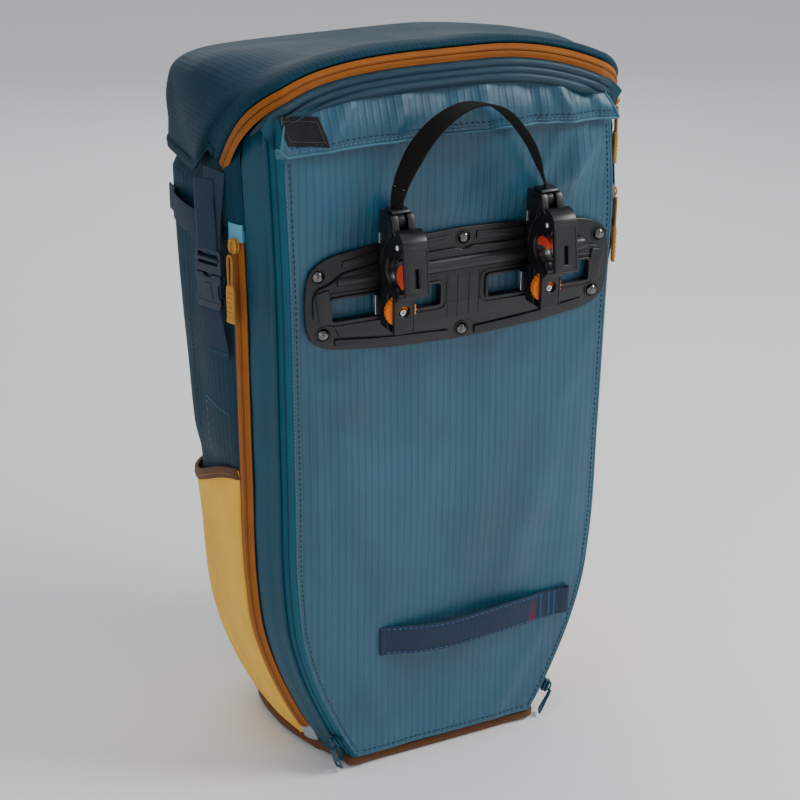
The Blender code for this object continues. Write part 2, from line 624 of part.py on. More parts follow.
def hook(side, tag):
    x = HOOK_MID + side * HOOK_X
    base = plate_front() - GAP

    def point(u, h):
        return (x, base - u, SLOT_Z + h)

    def block(half, u0, u1, h0, h1):
        return box(x - half, x + half, base - u1, base - u0, SLOT_Z + h0, SLOT_Z + h1)

    cheek = [(0.0, -0.0145), (0.024, -0.0145), (0.024, 0.0135), (0.030, 0.0135), (0.030, 0.0185)]
    cheek += arc(MOUTH, RAIL_R, -60, -300, 12)
    cheek += [(0.0285, 0.0425)] + arc(PIN, 0.0075, -55, 118, 9)
    cheek += [(0.0205, 0.0585), (0.0180, 0.0690), (0.0, 0.0690)]
    body = add(f"hook_body_{tag}", prism(hook_place(cheek), "x", x - HOOK_HALF, x + HOOK_HALF),
               "black_plastic", point(0, 0))
    cut(body, cutter(f"wheel_slot_{tag}", block(0.02, 0.0119, 0.0181, -0.0122, 0.0122)))
    cut(body, cutter(f"bolt_bore_{tag}", disc((x, SLOT_Z), 0.003, base - 0.0130, base + 0.005, sides=12)))
    cut(body, cutter(f"key_hole_{tag}", disc((x, SLOT_Z), 0.0045, base - 0.03, base - 0.0170, sides=16)))
    cut(body, cutter(f"lug_slot_{tag}", block(0.0034, 0.0207, 0.05, 0.0437, 0.08)))
    cut(body, cutter(f"lever_slot_{tag}", block(0.0056, -0.01, 0.0165, 0.0535, 0.08)))
    pin_y, pin_z = hook_place([PIN])[0]
    cut(body, cutter(f"pin_bore_{tag}", disc((pin_y, pin_z), PIN_R + GAP, x - 0.02, x + 0.02, "x", 12)))

    band = arc(PIN, 0.0112, 85, 0, 6) + [(0.0425, 0.0190), (0.0396, 0.0190)] + arc(PIN, 0.0082, 0, 85, 6)
    arm = add(f"hook_arm_{tag}", prism(hook_place(band), "x", x - ARM_HALF, x + ARM_HALF),
              "black_plastic", (x, pin_y, pin_z))
    lug = arc(PIN, 0.0055, 60, 290, 8) + [(0.0372, 0.0405), (0.0368, 0.0555)]
    cut(arm, cutter(f"lug_{tag}", prism(hook_place(lug), "x", x - 0.003, x + 0.003)), "UNION")
    cut(arm, cutter(f"arm_bore_{tag}", disc((pin_y, pin_z), PIN_R + GAP, x - 0.02, x + 0.02, "x", 12)))
    cut(arm, cutter(f"arm_slot_{tag}", block(0.0014, 0.034, 0.05, 0.0245, 0.0375)))

    add(f"hook_pin_{tag}", disc((pin_y, pin_z), PIN_R, x - 0.0091, x + 0.0091, "x", 12), "steel")
    shim = [(0.0378, 0.0235), (0.0318, 0.0228), (0.0292, 0.0275), (0.0292, 0.0335), (0.0318, 0.0385),
            (0.0352, 0.0405), (0.0358, 0.0385)]
    add(f"hook_insert_{tag}", prism(hook_place(shim), "x", x - 0.0062, x + 0.0062), "red_plastic")

    lever = [(0.0015, 0.0555), (0.0145, 0.0555), (0.0158, 0.0600), (0.0158, 0.0670), (0.0015, 0.0670)]
    lever_y, lever_z = hook_place([LEVER_PIN])[0]
    add(f"hook_lever_{tag}", prism(hook_place(lever), "x", x - 0.0052, x + 0.0052), "black_plastic",
        (x, lever_y, lever_z))

    wheel = add(f"thumbwheel_{tag}", disc((x, SLOT_Z), WHEEL_R, base - 0.0176, base - 0.0124, sides=24),
                "orange_plastic", point(0.015, 0))
    cut(wheel, cutter(f"wheel_bore_{tag}", disc((x, SLOT_Z), 0.0028, base - 0.03, base, sides=12)))

    flange = box(x - 0.0135, x + 0.0135, -0.0046, -0.0026, SLOT_Z - 0.0115, SLOT_Z + 0.0115)
    bolt = add(f"clamp_bolt_{tag}", flange, "steel")
    shank = disc((x, SLOT_Z), 0.0025, base - 0.0195, -0.0036, sides=12)
    cut(bolt, cutter(f"bolt_shank_{tag}", shank), "UNION")


def handle():
    """A webbing handle from one hook's lever to the other's, leaning back on the flap."""
    base = plate_front() - GAP
    foot = SLOT_Z + 0.0712
    left, right = HOOK_MID - HOOK_X, HOOK_MID + HOOK_X
    span = (right - left) / 2
    rise = 0.060
    spine, tilts = [], []
    for k in range(17):
        s = -1 + 2 * k / 16
        height = rise * (1 - abs(s) ** 2.6)
        spine.append((HOOK_MID + span * s, base - 0.0075 - 0.004 * (1 - s * s), foot + height))
        tilts.append(25 * (1 - s * s))
    half = [0.5 * WEB_W * (0.55 + 0.45 * min(1.0, 6 * (1 - abs(-1 + 2 * k / 16)))) for k in range(17)]
    rings = []
    for i, p in enumerate(spine):
        before, after = Vector(spine[max(i - 1, 0)]), Vector(spine[min(i + 1, 16)])
        run = (after - before).normalized()
        wide = Vector((0, math.cos(math.radians(tilts[i])), -math.sin(math.radians(tilts[i]))))
        wide = (wide - run * wide.dot(run)).normalized()
        up = run.cross(wide).normalized() * 0.0015
        w = wide * min(half[i], 0.0068 if i in (0, 16) else 0.0085)
        p = Vector(p)
        rings.append([p - w, p + w, p + w + up, p - w + up])
    add("handle_strap", loft(rings), "black_webbing")


def lamp_loop():
    """A loop of webbing across the cover for a rear lamp, open behind its middle."""
    y0 = -GAP
    shares = (-1.0, -0.88, -0.6, 0.0, 0.5, 0.70, 0.76, 1.0)
    rises = (0.0, 0.1, 0.85, 1.0, 0.9, 0.1, 0.0, 0.0)
    spine = [(LOOP_X + LOOP_HALF * s, y0 - LOOP_RISE * r, LOOP_Z) for s, r in zip(shares, rises)]
    add("lamp_loop", strip(spine, LOOP_W / 2, lambda i: (0, 0, 1), lambda i: (0, -0.0018, 0)),
        "slate_webbing")


main_compartment()
back_board()
back_pad()
back_frame()
storm_flap()
upper_cover = back_cover()
hood()
lid_zip()
for sign, word in ((-1, "left"), (1, "right")):
    border_zip(sign, f"cover_zip_{word}", ZIP_RUN, ZIP_HALF,
               (0.014, 0.05, 0.09, COVER_KINK, 0.16, 0.30, 0.42, 0.495), "teal_zip")
    border_zip(sign, f"gusset_zip_{word}", GUSSET_RUN, 0.006,
               (0.022, 0.05, 0.09, COVER_KINK, 0.16, 0.23, 0.33, 0.443), "orange_zip")
    side_pocket(sign, f"side_pocket_{word}")
    side_loop(sign, f"side_loop_{word}")
    side_strap(sign, word)
    hook(sign, word)
zip_hardware()
hook_plate(upper_cover)
handle()
lamp_loop()
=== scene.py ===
"""Looks of the pannier bag: fabric, webbing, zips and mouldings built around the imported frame.

Metres, in the frame's own axes: +Z up, -Y is the back of the bag with the hooks. Heights are above the
base, depths are measured from the outer face of the back cover (see `at`).
"""
import math

import bmesh
import bpy
import numpy as np
from mathutils import Matrix, Vector, noise


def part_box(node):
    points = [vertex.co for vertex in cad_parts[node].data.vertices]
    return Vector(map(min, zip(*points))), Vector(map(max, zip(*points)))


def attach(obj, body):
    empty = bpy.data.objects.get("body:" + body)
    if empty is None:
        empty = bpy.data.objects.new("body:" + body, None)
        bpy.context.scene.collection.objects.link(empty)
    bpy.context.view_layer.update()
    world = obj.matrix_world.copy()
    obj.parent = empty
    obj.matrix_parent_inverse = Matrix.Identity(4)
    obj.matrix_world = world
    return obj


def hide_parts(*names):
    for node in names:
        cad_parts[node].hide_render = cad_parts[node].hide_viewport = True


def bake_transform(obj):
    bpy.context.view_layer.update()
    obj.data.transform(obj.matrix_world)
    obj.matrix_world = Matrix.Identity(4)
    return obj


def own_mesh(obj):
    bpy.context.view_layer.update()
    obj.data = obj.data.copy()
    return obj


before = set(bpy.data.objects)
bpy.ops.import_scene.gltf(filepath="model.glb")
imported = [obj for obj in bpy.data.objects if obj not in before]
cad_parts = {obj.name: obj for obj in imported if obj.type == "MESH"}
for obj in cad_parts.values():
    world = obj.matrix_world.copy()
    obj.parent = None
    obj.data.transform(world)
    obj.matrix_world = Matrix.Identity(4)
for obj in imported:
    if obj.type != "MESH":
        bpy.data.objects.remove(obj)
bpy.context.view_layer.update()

# ---- driving dimensions, read off the frame -----------------------------------------------------
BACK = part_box("cover_upper")[0].y             # outer face of the back cover
FOLD_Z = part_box("cover_upper")[0].z           # the cover's lower half folds up about this height
COVER_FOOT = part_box("cover_lower")[0].z
COVER_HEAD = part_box("cover_upper")[1].z
HOOD_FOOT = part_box("hood")[0].z
HOOD_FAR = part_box("hood")[1].y - BACK
HOOD_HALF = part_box("hood")[1].x
LID_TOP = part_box("hood")[1].z
SHELL_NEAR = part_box("body_shell")[0].y - BACK
SHELL_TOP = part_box("body_shell")[1].z
PLATE_LOW, PLATE_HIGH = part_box("hook_plate")
PLATE_X = (PLATE_LOW.x + PLATE_HIGH.x) / 2
PLATE_Z = (PLATE_LOW.z + PLATE_HIGH.z) / 2
HOOK_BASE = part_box("hook_body_left")[1].y - BACK
SLOT_Z = sum(corner.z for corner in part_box("thumbwheel_left")) / 2
HOOK_X = {side: sum(corner.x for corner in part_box(f"thumbwheel_{side}")) / 2 for side in ("left", "right")}
SIGN = {"left": -1, "right": 1}
TO_BACK = (0, -1, 0)     # out of the bag's back, towards the wheel

LEAN = (0.437, 0.900)    # the border runs back from the cover's edge: outward and in depth
ZIP_RUN, ZIP_HALF = 0.0064, 0.0062      # zip beside the cover: middle along the border, half width
GUSSET_RUN = 0.0466      # the orange zip's middle along the border
STRAP_RUN = 0.0676       # the side strap's middle along the border
LID_LEAN = 0.88          # the lid's zip runs back this much for each unit down, below its shoulder
LID_SHOULDER = 0.545
LID_ZIP_DEPTH = 0.0014   # the lid's zip lies this deep above its shoulder
SLANT_RUN = 0.056        # the border's slant goes this far back before it turns into the side
SLUMP = 0.0125           # how far the soft head of the bag sinks in at its right
WEB = 0.020              # width of the side straps and handle
HOOD_LIP = 0.0075        # from the lid zip's middle line to the lid's outer face
RIB = 0.0053             # spacing of the ripstop ribs
FOOT_SLOPE = 0.449       # at its foot the cover widens this much for each unit up, on each side
FLOOR_Z = -0.0004        # the floor lies just under the bag's base
POCKET_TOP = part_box("side_pocket_left")[1].z


def at(x, y, z):
    """A point of the frame, `y` counted from the cover's outer face; the soft head sinks at its right."""
    aside = smooth(0.425, 0.545, z) * smooth(-0.16, 0.13, x)
    drop = 0.65 * SLUMP * smooth(0.505, 0.56, z) * smooth(0.03, 0.15, x)
    return Vector((x - SLUMP * aside, BACK + y, z - drop))


def border(sign, z, run, lift=0.0):
    """A point of the border, `run` back from the cover's edge and `lift` outside the border's surface."""
    half = cover_half(z) + LEAN[0] * run + LEAN[1] * lift
    return at(sign * half, LEAN[1] * run - LEAN[0] * lift, z)


def border_out(sign):
    """The border's outward direction."""
    return Vector((sign * LEAN[1], -LEAN[0], 0))


def lerp(a, b, t):
    return a + (b - a) * t


def smooth(low, high, value):
    t = min(1.0, max(0.0, (value - low) / (high - low)))
    return t * t * (3 - 2 * t)


def curve_through(table):
    """A smooth function through (place, value) pairs."""
    places, values = np.array(table, float).T
    slopes = np.gradient(values, places)

    def read(place):
        place = float(np.clip(place, places[0], places[-1]))
        i = int(np.clip(np.searchsorted(places, place) - 1, 0, len(places) - 2))
        span = places[i + 1] - places[i]
        t = (place - places[i]) / span
        return float((2 * t**3 - 3 * t**2 + 1) * values[i] + (t**3 - 2 * t**2 + t) * span * slopes[i]
                     + (3 * t**2 - 2 * t**3) * values[i + 1] + (t**3 - t**2) * span * slopes[i + 1])
    return read


cover_half = curve_through([(0.012, 0.077), (0.030, 0.0870), (0.05, 0.0962), (0.09, 0.1115), (0.125, 0.1205),
                            (0.165, 0.1245), (0.26, 0.1258), (0.42, 0.127), (0.514, 0.130)])
side_half = curve_through([(0.0, 0.098), (0.006, 0.107), (0.022, 0.116), (0.068, 0.133), (0.13, 0.1465),
                           (0.23, 0.153), (0.33, 0.157), (0.535, 0.1585)])
far_depth = curve_through([(0.0, 0.138), (0.006, 0.147), (0.022, 0.155), (0.20, 0.158), (0.30, 0.163),
                           (0.45, 0.174), (0.535, 0.172)])


def resample(points, count):
    """`count` points spaced evenly along a polyline."""
    points = np.array([tuple(p) for p in points], float)
    steps = np.linalg.norm(np.diff(points, axis=0), axis=1)
    run = np.concatenate([[0], np.cumsum(steps)])
    where = np.linspace(0, run[-1], count)
    return [Vector([np.interp(w, run, points[:, k]) for k in range(points.shape[1])]) for w in where]


def spline(points, count):
    """`count` points along a Catmull-Rom curve through given points."""
    points = [Vector(p) for p in points]
    ends = [2 * points[0] - points[1]] + points + [2 * points[-1] - points[-2]]
    dense = []
    for a, b, c, d in zip(ends, ends[1:], ends[2:], ends[3:]):
        for k in range(12):
            t = k / 12
            dense.append(0.5 * (2 * b + (c - a) * t + (2 * a - 5 * b + 4 * c - d) * t * t
                                + (3 * b - a - 3 * c + d) * t**3))
    return resample(dense + [points[-1]], count)


def arc(centre, radius, start, end, steps):
    turn = [math.radians(start + (end - start) * k / steps) for k in range(steps + 1)]
    return [(centre[0] + radius * math.cos(t), centre[1] + radius * math.sin(t)) for t in turn]


def rounded(points, radius, steps=4):
    """A closed outline with its corners rounded; radius is one number or one for each corner."""
    radii = radius if isinstance(radius, (list, tuple)) else [radius] * len(points)
    out = []
    for i, corner in enumerate(points):
        corner = Vector(corner)
        before, after = Vector(points[i - 1]) - corner, Vector(points[(i + 1) % len(points)]) - corner
        cut = min(radii[i], before.length * 0.49, after.length * 0.49)
        a, b = corner + before.normalized() * cut, corner + after.normalized() * cut
        for k in range(steps + 1):
            t = k / steps
            out.append(((1 - t)**2 * a + 2 * t * (1 - t) * corner + t * t * b).to_tuple())
    return out


def rectangle(x0, x1, z0, z1, radius):
    return rounded([(x0, z0), (x1, z0), (x1, z1), (x0, z1)], radius)


def noise_at(x, y, z):
    return noise.noise(Vector((x, y, z)))


def step_along(path, i):
    """From the point before the i-th to the point after it."""
    return path[min(i + 1, len(path) - 1)] - path[max(i - 1, 0)]


def distances(path):
    """How far along the path each of its points lies."""
    return np.concatenate([[0], np.cumsum([(b - a).length for a, b in zip(path, path[1:])])])


# ---- materials ----------------------------------------------------------------------------------
class Finish:
    """A Principled material, with short calls for the nodes that pattern it.

    Patterns read the `weave` attribute that every piece carries: metres across, along and through it.
    """

    def __init__(self, name, roughness=0.5, **sockets):
        self.material = bpy.data.materials.new(name)
        self.material.use_nodes = True
        self.tree = self.material.node_tree
        self.shader = self.tree.nodes["Principled BSDF"]
        self.shader.inputs["Roughness"].default_value = roughness
        for key, value in sockets.items():
            self.shader.inputs[key.replace("_", " ")].default_value = value
        weave = self.node("ShaderNodeAttribute")
        weave.attribute_name = "weave"
        self.place = weave.outputs["Vector"]
        self.u, self.v, self.w = self.node("ShaderNodeSeparateXYZ", self.place).outputs

    def node(self, kind, *inputs, **settings):
        made = self.tree.nodes.new(kind)
        for key, value in settings.items():
            setattr(made, key, value)
        for socket, value in zip(made.inputs, inputs):
            if isinstance(value, bpy.types.NodeSocket):
                self.tree.links.new(value, socket)
            elif value is not None:
                socket.default_value = value
        return made

    def math(self, operation, *values):
        return self.node("ShaderNodeMath", *values, operation=operation).outputs[0]

    def noise(self, scale, detail=2.0, stretch=None):
        place = self.place
        if stretch:
            place = self.node("ShaderNodeVectorMath", place, stretch, operation="MULTIPLY").outputs[0]
        made = self.node("ShaderNodeTexNoise")
        self.tree.links.new(place, made.inputs["Vector"])
        made.inputs["Scale"].default_value = scale
        made.inputs["Detail"].default_value = detail
        return made.outputs["Fac"]

    def lines(self, coordinate, spacing, width, softness=0.35):
        """1 on thin lines `width` wide, `spacing` apart, 0 between them."""
        phase = self.math("FRACT", self.math("DIVIDE", coordinate, spacing))
        off = self.math("ABSOLUTE", self.math("SUBTRACT", phase, 0.5))
        edge = width / spacing / 2
        ramp = self.node("ShaderNodeMapRange", off, edge * (1 - softness), edge * (1 + softness), 1.0, 0.0)
        ramp.interpolation_type = "SMOOTHSTEP"
        return ramp.outputs[0]

    def threads(self, spacing):
        """A plain weave: threads across and along, one up and one down."""
        across = self.math("SINE", self.math("MULTIPLY", self.u, math.tau / spacing))
        along = self.math("SINE", self.math("MULTIPLY", self.v, math.tau / spacing))
        return self.math("MULTIPLY", across, along)

    def mix(self, factor, a, b):
        made = self.node("ShaderNodeMix", data_type="RGBA")
        for socket, value in ((made.inputs[0], factor), (made.inputs[6], a), (made.inputs[7], b)):
            if isinstance(value, bpy.types.NodeSocket):
                self.tree.links.new(value, socket)
            else:
                socket.default_value = value if isinstance(value, float) else (*value, 1.0)
        return made.outputs[2]

    def spread(self, value, low, high):
        """Stretches noise about its middle to run from low to high."""
        return self.node("ShaderNodeMapRange", value, 0.3, 0.7, low, high).outputs[0]

    def colour(self, socket):
        self.tree.links.new(socket, self.shader.inputs["Base Color"])

    def roughness(self, socket):
        self.tree.links.new(socket, self.shader.inputs["Roughness"])

    def bumps(self, *layers):
        """Stacks (height, metres) layers into the shader's normal."""
        normal = None
        for height, distance in layers:
            made = self.node("ShaderNodeBump")
            made.inputs["Strength"].default_value = 1.0
            made.inputs["Distance"].default_value = distance
            self.tree.links.new(height, made.inputs["Height"])
            if normal is not None:
                self.tree.links.new(normal, made.inputs["Normal"])
            normal = made.outputs["Normal"]
        self.tree.links.new(normal, self.shader.inputs["Normal"])


def shade(colour, factor):
    return tuple(min(1.0, c * factor) for c in colour)


def tarpaulin(name, colour, gloss=0.40, ribs=0.5, crinkle=0.00035, coat=0.12, specular=0.5):
    """Coated ripstop: fine threads, darker ribs in one direction, faint ones across, and crinkles."""
    f = Finish(name, Coat_Weight=coat, Coat_Roughness=0.30, Sheen_Weight=0.25 * coat,
               Specular_IOR_Level=specular)
    rib = f.lines(f.u, RIB, 0.0016, 0.7)
    cross = f.lines(f.v, RIB / 2, 0.0006, 0.6)
    patch = f.spread(f.noise(14, 4.0), 0.0, 1.0)
    streak = f.spread(f.noise(60, 3.0, (6.0, 0.5, 1.0)), 0.0, 1.0)
    pattern = f.math("ADD", f.math("MULTIPLY", rib, ribs), f.math("MULTIPLY", cross, ribs * 0.35))
    broken = f.math("MULTIPLY", pattern, f.math("ADD", f.math("MULTIPLY", streak, 0.6), 0.55))
    ground = f.mix(patch, shade(colour, 0.82), shade(colour, 1.22))
    f.colour(f.mix(broken, ground, shade(colour, 0.36)))
    f.roughness(f.math("ADD", f.math("MULTIPLY", patch, 0.16), gloss))
    f.bumps((f.noise(23, 3.0), crinkle * 3.2), (f.noise(95, 5.0), crinkle), (rib, 0.00014),
            (f.threads(0.0009), 0.00004))
    return f.material


def woven(name, colour, spacing=0.0006, depth=0.00006, roughness=0.8, melange=0.12):
    """Plain woven cloth or tape."""
    f = Finish(name, roughness, Sheen_Weight=0.05, Sheen_Roughness=0.5, Specular_IOR_Level=0.35)
    fleck = f.spread(f.noise(1400, 2.0), -1.0, 1.0)
    patch = f.spread(f.noise(22, 3.0), 0.0, 1.0)
    ground = f.mix(patch, shade(colour, 0.88), shade(colour, 1.12))
    fleck = f.math("MULTIPLY", f.math("ABSOLUTE", fleck), melange * 4)
    f.colour(f.mix(fleck, ground, shade(colour, 0.55)))
    f.bumps((f.threads(spacing), depth), (f.noise(260, 3.0), depth * 2))
    return f.material


def webbing(name, colour, rib=0.0011, contrast=0.5, light=None, specular=0.3):
    """Webbing with ribs across it and fine threads along it."""
    f = Finish(name, 0.78, Sheen_Weight=0.15 * specular, Sheen_Roughness=0.5, Specular_IOR_Level=specular)
    bar = f.lines(f.v, rib, rib * 0.5, 0.9)
    thread = f.lines(f.u, 0.0013, 0.0005, 0.8)
    fleck = f.math("MULTIPLY", f.spread(f.noise(900, 2.0), 0.0, 1.0), 0.5)
    tone = f.math("MULTIPLY", bar, f.math("SUBTRACT", 1.0, f.math("MULTIPLY", thread, 0.5)))
    ground = f.mix(tone, shade(colour, 1 - contrast), light or shade(colour, 1 + contrast))
    f.colour(f.mix(fleck, ground, shade(colour, 0.8)))
    f.bumps((bar, 0.00016), (thread, 0.00008))
    return f.material


def moulded(name, colour, roughness=0.42, grain=0.00003, metallic=0.0, **sockets):
    """Moulded plastic or cast metal with a fine grain and slightly uneven gloss."""
    f = Finish(name, roughness, Metallic=metallic, **sockets)
    patch = f.spread(f.noise(120, 3.0), 0.0, 1.0)
    f.colour(f.mix(patch, shade(colour, 0.9), shade(colour, 1.1)))
    f.roughness(f.math("ADD", f.math("MULTIPLY", patch, 0.10), roughness - 0.05))
    f.bumps((f.noise(2600, 2.0), grain))
    return f.material


def brushed(name, colour, roughness=0.22):
    """Plated or brushed steel with faint lines along it."""
    f = Finish(name, roughness, Metallic=1.0)
    streak = f.spread(f.noise(300, 3.0, (1.0, 12.0, 1.0)), 0.0, 1.0)
    f.colour(f.mix(streak, shade(colour, 0.86), shade(colour, 1.1)))
    f.roughness(f.math("ADD", f.math("MULTIPLY", streak, 0.12), roughness - 0.06))
    f.bumps((streak, 0.00001))
    return f.material


TEAL = (0.0075, 0.074, 0.128)
DARK_TEAL = (0.0022, 0.031, 0.055)
MATERIALS = {
    "tarpaulin": (tarpaulin("tarpaulin", TEAL, gloss=0.31, ribs=0.40, coat=0.16), "tarpaulin"),
    "dark_tarpaulin": (tarpaulin("dark_tarpaulin", DARK_TEAL, gloss=0.50, ribs=0.30, coat=0.0,
                                 specular=0.15), "dark_tarpaulin"),
    "rim": (tarpaulin("rim_tarpaulin", (0.004, 0.055, 0.092), ribs=0.0, crinkle=0.0002, coat=0.0,
                      specular=0.30), "tarpaulin"),
    "lining": (woven("lining", (0.045, 0.055, 0.065), 0.0008), "dark_tarpaulin"),
    "ochre": (woven("ochre_cloth", (0.92, 0.510, 0.050), 0.0007, 0.00005, 0.85, 0.10), "ochre_fabric"),
    "orange_tape": (woven("orange_tape", (0.38, 0.108, 0.004), 0.0009, 0.00012, 0.75, 0.22), "orange_zip"),
    "binding": (woven("binding", (0.13, 0.042, 0.007), 0.0009, 0.00010, 0.7, 0.2), "orange_zip"),
    "teal_tape": (woven("teal_tape", (0.002, 0.100, 0.158), 0.0009, 0.00010, 0.7, 0.18), "teal_zip"),
    "slate_web": (webbing("slate_webbing", (0.017, 0.034, 0.066)), "slate_webbing"),
    "black_web": (webbing("black_webbing", (0.0045, 0.004, 0.0035), 0.0021, 0.6, (0.012, 0.010, 0.008),
                          0.18),
                  "black_webbing"),
    "slate_plastic": (moulded("slate_acetal", (0.010, 0.022, 0.044), 0.36), "slate_plastic"),
    "black_plastic": (moulded("black_nylon", (0.0050, 0.0055, 0.0065), 0.36), "black_plastic"),
    # painted shade: a darker, matte black for the floor of the hook's recess, standing in for the shade
    # inside it
    "recess_shade": (moulded("recess_shade_black", (0.003, 0.003, 0.004), 0.8), "black_plastic"),
    "orange_plastic": (moulded("orange_acetal", (0.95, 0.20, 0.006), 0.38), "orange_plastic"),
    "red_plastic": (moulded("red_rubbery", (0.62, 0.050, 0.018), 0.45, 0.00006), "red_plastic"),
    "steel": (brushed("zinc_plate", (0.72, 0.76, 0.76), 0.24), "steel"),
    "nickel": (brushed("black_nickel", (0.16, 0.155, 0.15), 0.12), "dark_chrome"),
    "teal_metal": (moulded("teal_lacquer", (0.003, 0.060, 0.100), 0.30, 0.00002, 0.35), "teal_metal"),
    "gold_tape": (woven("gold_tape", (0.50, 0.235, 0.030), 0.0008, 0.00006, 0.55, 0.10), "gold_fabric"),
    "gold_cord": (webbing("gold_cord", (0.46, 0.205, 0.028), 0.0009, 0.4), "gold_fabric"),
    "grey_mesh": (webbing("spacer_mesh", (0.055, 0.062, 0.070), 0.0026, 0.7), "grey_mesh"),
    "reflective": (woven("reflective_tape", (0.33, 0.39, 0.42), 0.0005, 0.00003, 0.35, 0.10), "tarpaulin"),
    "reflective_blue": (woven("folded_tab", (0.10, 0.36, 0.52), 0.0005, 0.00003, 0.4, 0.10), "tarpaulin"),
    "edge_teal": (woven("edge_teal", (0.040, 0.150, 0.215), 0.0005, 0.00003, 0.45, 0.10), "tarpaulin"),
    "pale_thread": (woven("pale_thread", (0.085, 0.230, 0.320), 0.0004, 0.00003, 0.6), "tarpaulin"),
    "teal_thread": (woven("teal_thread", (0.004, 0.026, 0.046), 0.0004, 0.00003, 0.6), "tarpaulin"),
    "blue_thread": (woven("blue_thread", (0.055, 0.180, 0.400), 0.0004, 0.00003, 0.6), "slate_webbing"),
    "gold_thread": (woven("gold_thread", (0.55, 0.27, 0.06), 0.0004, 0.00003, 0.6), "gold_fabric"),
    "red_thread": (woven("red_thread", (0.35, 0.012, 0.022), 0.0004, 0.00003, 0.6), "slate_webbing"),
    "pale_brown": (woven("pale_brown_thread", (0.22, 0.18, 0.12), 0.0004, 0.00003, 0.6), "black_webbing"),
    "black_thread": (woven("black_thread", (0.05, 0.045, 0.035), 0.0004, 0.00003, 0.6), "black_webbing"),
    "label": (woven("label_weave", (0.003, 0.003, 0.004), 0.0007, 0.00006, 0.75), "black_webbing"),
    "label_edge": (woven("label_edge", (0.10, 0.10, 0.10), 0.0007, 0.00006, 0.75), "black_webbing"),
    "board": (moulded("board_sheet", (0.05, 0.05, 0.05), 0.6), "board"),
}


# ---- mesh building ------------------------------------------------------------------------------
def ride(ob, body, finish, replaces=()):
    """Gives a finished piece its material and the body that it moves with.

    Pieces on body "cover" (the back cover) or between two bodies (a tuple) are only baked where they stand,
    with no body. A piece without weave coordinates gets its places in the frame.
    """
    material, slot = MATERIALS[finish]
    ob.data.materials.clear()
    ob.data.materials.append(material)
    if "weave" not in ob.data.attributes:
        attribute = ob.data.attributes.new("weave", "FLOAT_VECTOR", "POINT")
        places = np.array([tuple(v.co) for v in ob.data.vertices], np.float32)
        attribute.data.foreach_set("vector", places.ravel())
    if replaces:
        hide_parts(*replaces)
    if body == "cover":
        at(0, 0, FOLD_Z + 0.008)
        at(0, 0, FOLD_Z - 0.010)
        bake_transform(ob)
    elif isinstance(body, tuple):
        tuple(body[2])
        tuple(body[3])
        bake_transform(ob)
    else:
        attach(ob, body)
    return ob


def linked(name, data):
    """A new object in the scene."""
    ob = bpy.data.objects.new(name, data)
    bpy.context.scene.collection.objects.link(ob)
    return ob


def evaluated_mesh(ob):
    graph = bpy.context.evaluated_depsgraph_get()
    graph.update()
    return bpy.data.meshes.new_from_object(ob.evaluated_get(graph))


def smoothed(mesh, smooth_angle):
    """Smooth shading with sharp edges where the faces turn by more than the angle."""
    mesh.shade_smooth()
    mesh.set_sharp_from_angle(angle=math.radians(smooth_angle))


def new_object(name, bm, smooth_angle):
    """A smooth-shaded object out of built-up geometry."""
    mesh = bpy.data.meshes.new(name)
    bm.to_mesh(mesh)
    bm.free()
    smoothed(mesh, smooth_angle)
    return linked(name, mesh)


def thicken(ob, thick, smooth_angle):
    """Gives a sheet its thickness, on the inner side."""
    wall = ob.modifiers.new("wall", "SOLIDIFY")
    wall.thickness = thick
    wall.offset = -1.0
    mesh = evaluated_mesh(ob)
    ob.modifiers.clear()
    ob.data = mesh
    smoothed(mesh, smooth_angle)


def add_grid(bm, layer, rows, weave=None, closed=False):
    """Adds the points of the rows and the faces between them; returns the rows of vertices."""
    grid = []
    across = 0.0
    for r, row in enumerate(rows):
        if r:
            across += (Vector(rows[r][len(row) // 2]) - Vector(rows[r - 1][len(row) // 2])).length
        along = 0.0
        line = []
        for c, p in enumerate(row):
            if c:
                along += (Vector(p) - Vector(row[c - 1])).length
            vert = bm.verts.new(p)
            vert[layer] = weave(r, c, p) if weave else (across, along, 0.0)
            line.append(vert)
        grid.append(line)
    count = len(grid[0])
    for low, high in zip(grid, grid[1:]):
        for i in range(count if closed else count - 1):
            j = (i + 1) % count
            bm.faces.new((low[i], low[j], high[j], high[i]))
    return grid


def sheet(name, rows, thick=0.0, closed=False, weave=None, weld=0.0, smooth_angle=50):
    """A smooth sheet through rows of points, made `thick` on the inner side.

    A closed one is a solid: its rows are rings, with a cap on the first and on the last. The weave runs with
    the distance along a row and across the rows, unless `weave` gives it for (row, column, point).
    """
    bm = bmesh.new()
    layer = bm.verts.layers.float_vector.new("weave")
    grid = add_grid(bm, layer, rows, weave, closed)
    if closed:
        bm.faces.new(grid[0])
        bm.faces.new(grid[-1])
    if weld:
        bmesh.ops.remove_doubles(bm, verts=bm.verts, dist=weld)
    bmesh.ops.recalc_face_normals(bm, faces=bm.faces)
    ob = new_object(name, bm, smooth_angle)
    if thick:
        thicken(ob, thick, smooth_angle)
    return ob


def facing(rows, outward):
    """Turns the rows round if the sheet would face away from `outward` in its middle."""
    r, c = len(rows) // 2, len(rows[0]) // 2
    along = Vector(rows[r][c]) - Vector(rows[r][c - 1])
    across = Vector(rows[r][c]) - Vector(rows[r - 1][c])
    return rows if along.cross(across).dot(Vector(outward)) > 0 else [row[::-1] for row in rows]


def frames_along(path, up):
    """(point, sideways, upward) along a path, upward as near `up` as the path allows."""
    out = []
    for i, p in enumerate(path):
        run = step_along(path, i).normalized()
        lift = Vector(up(i) if callable(up) else up)
        lift = (lift - run * lift.dot(run)).normalized()
        out.append((p, run.cross(lift), lift))
    return out


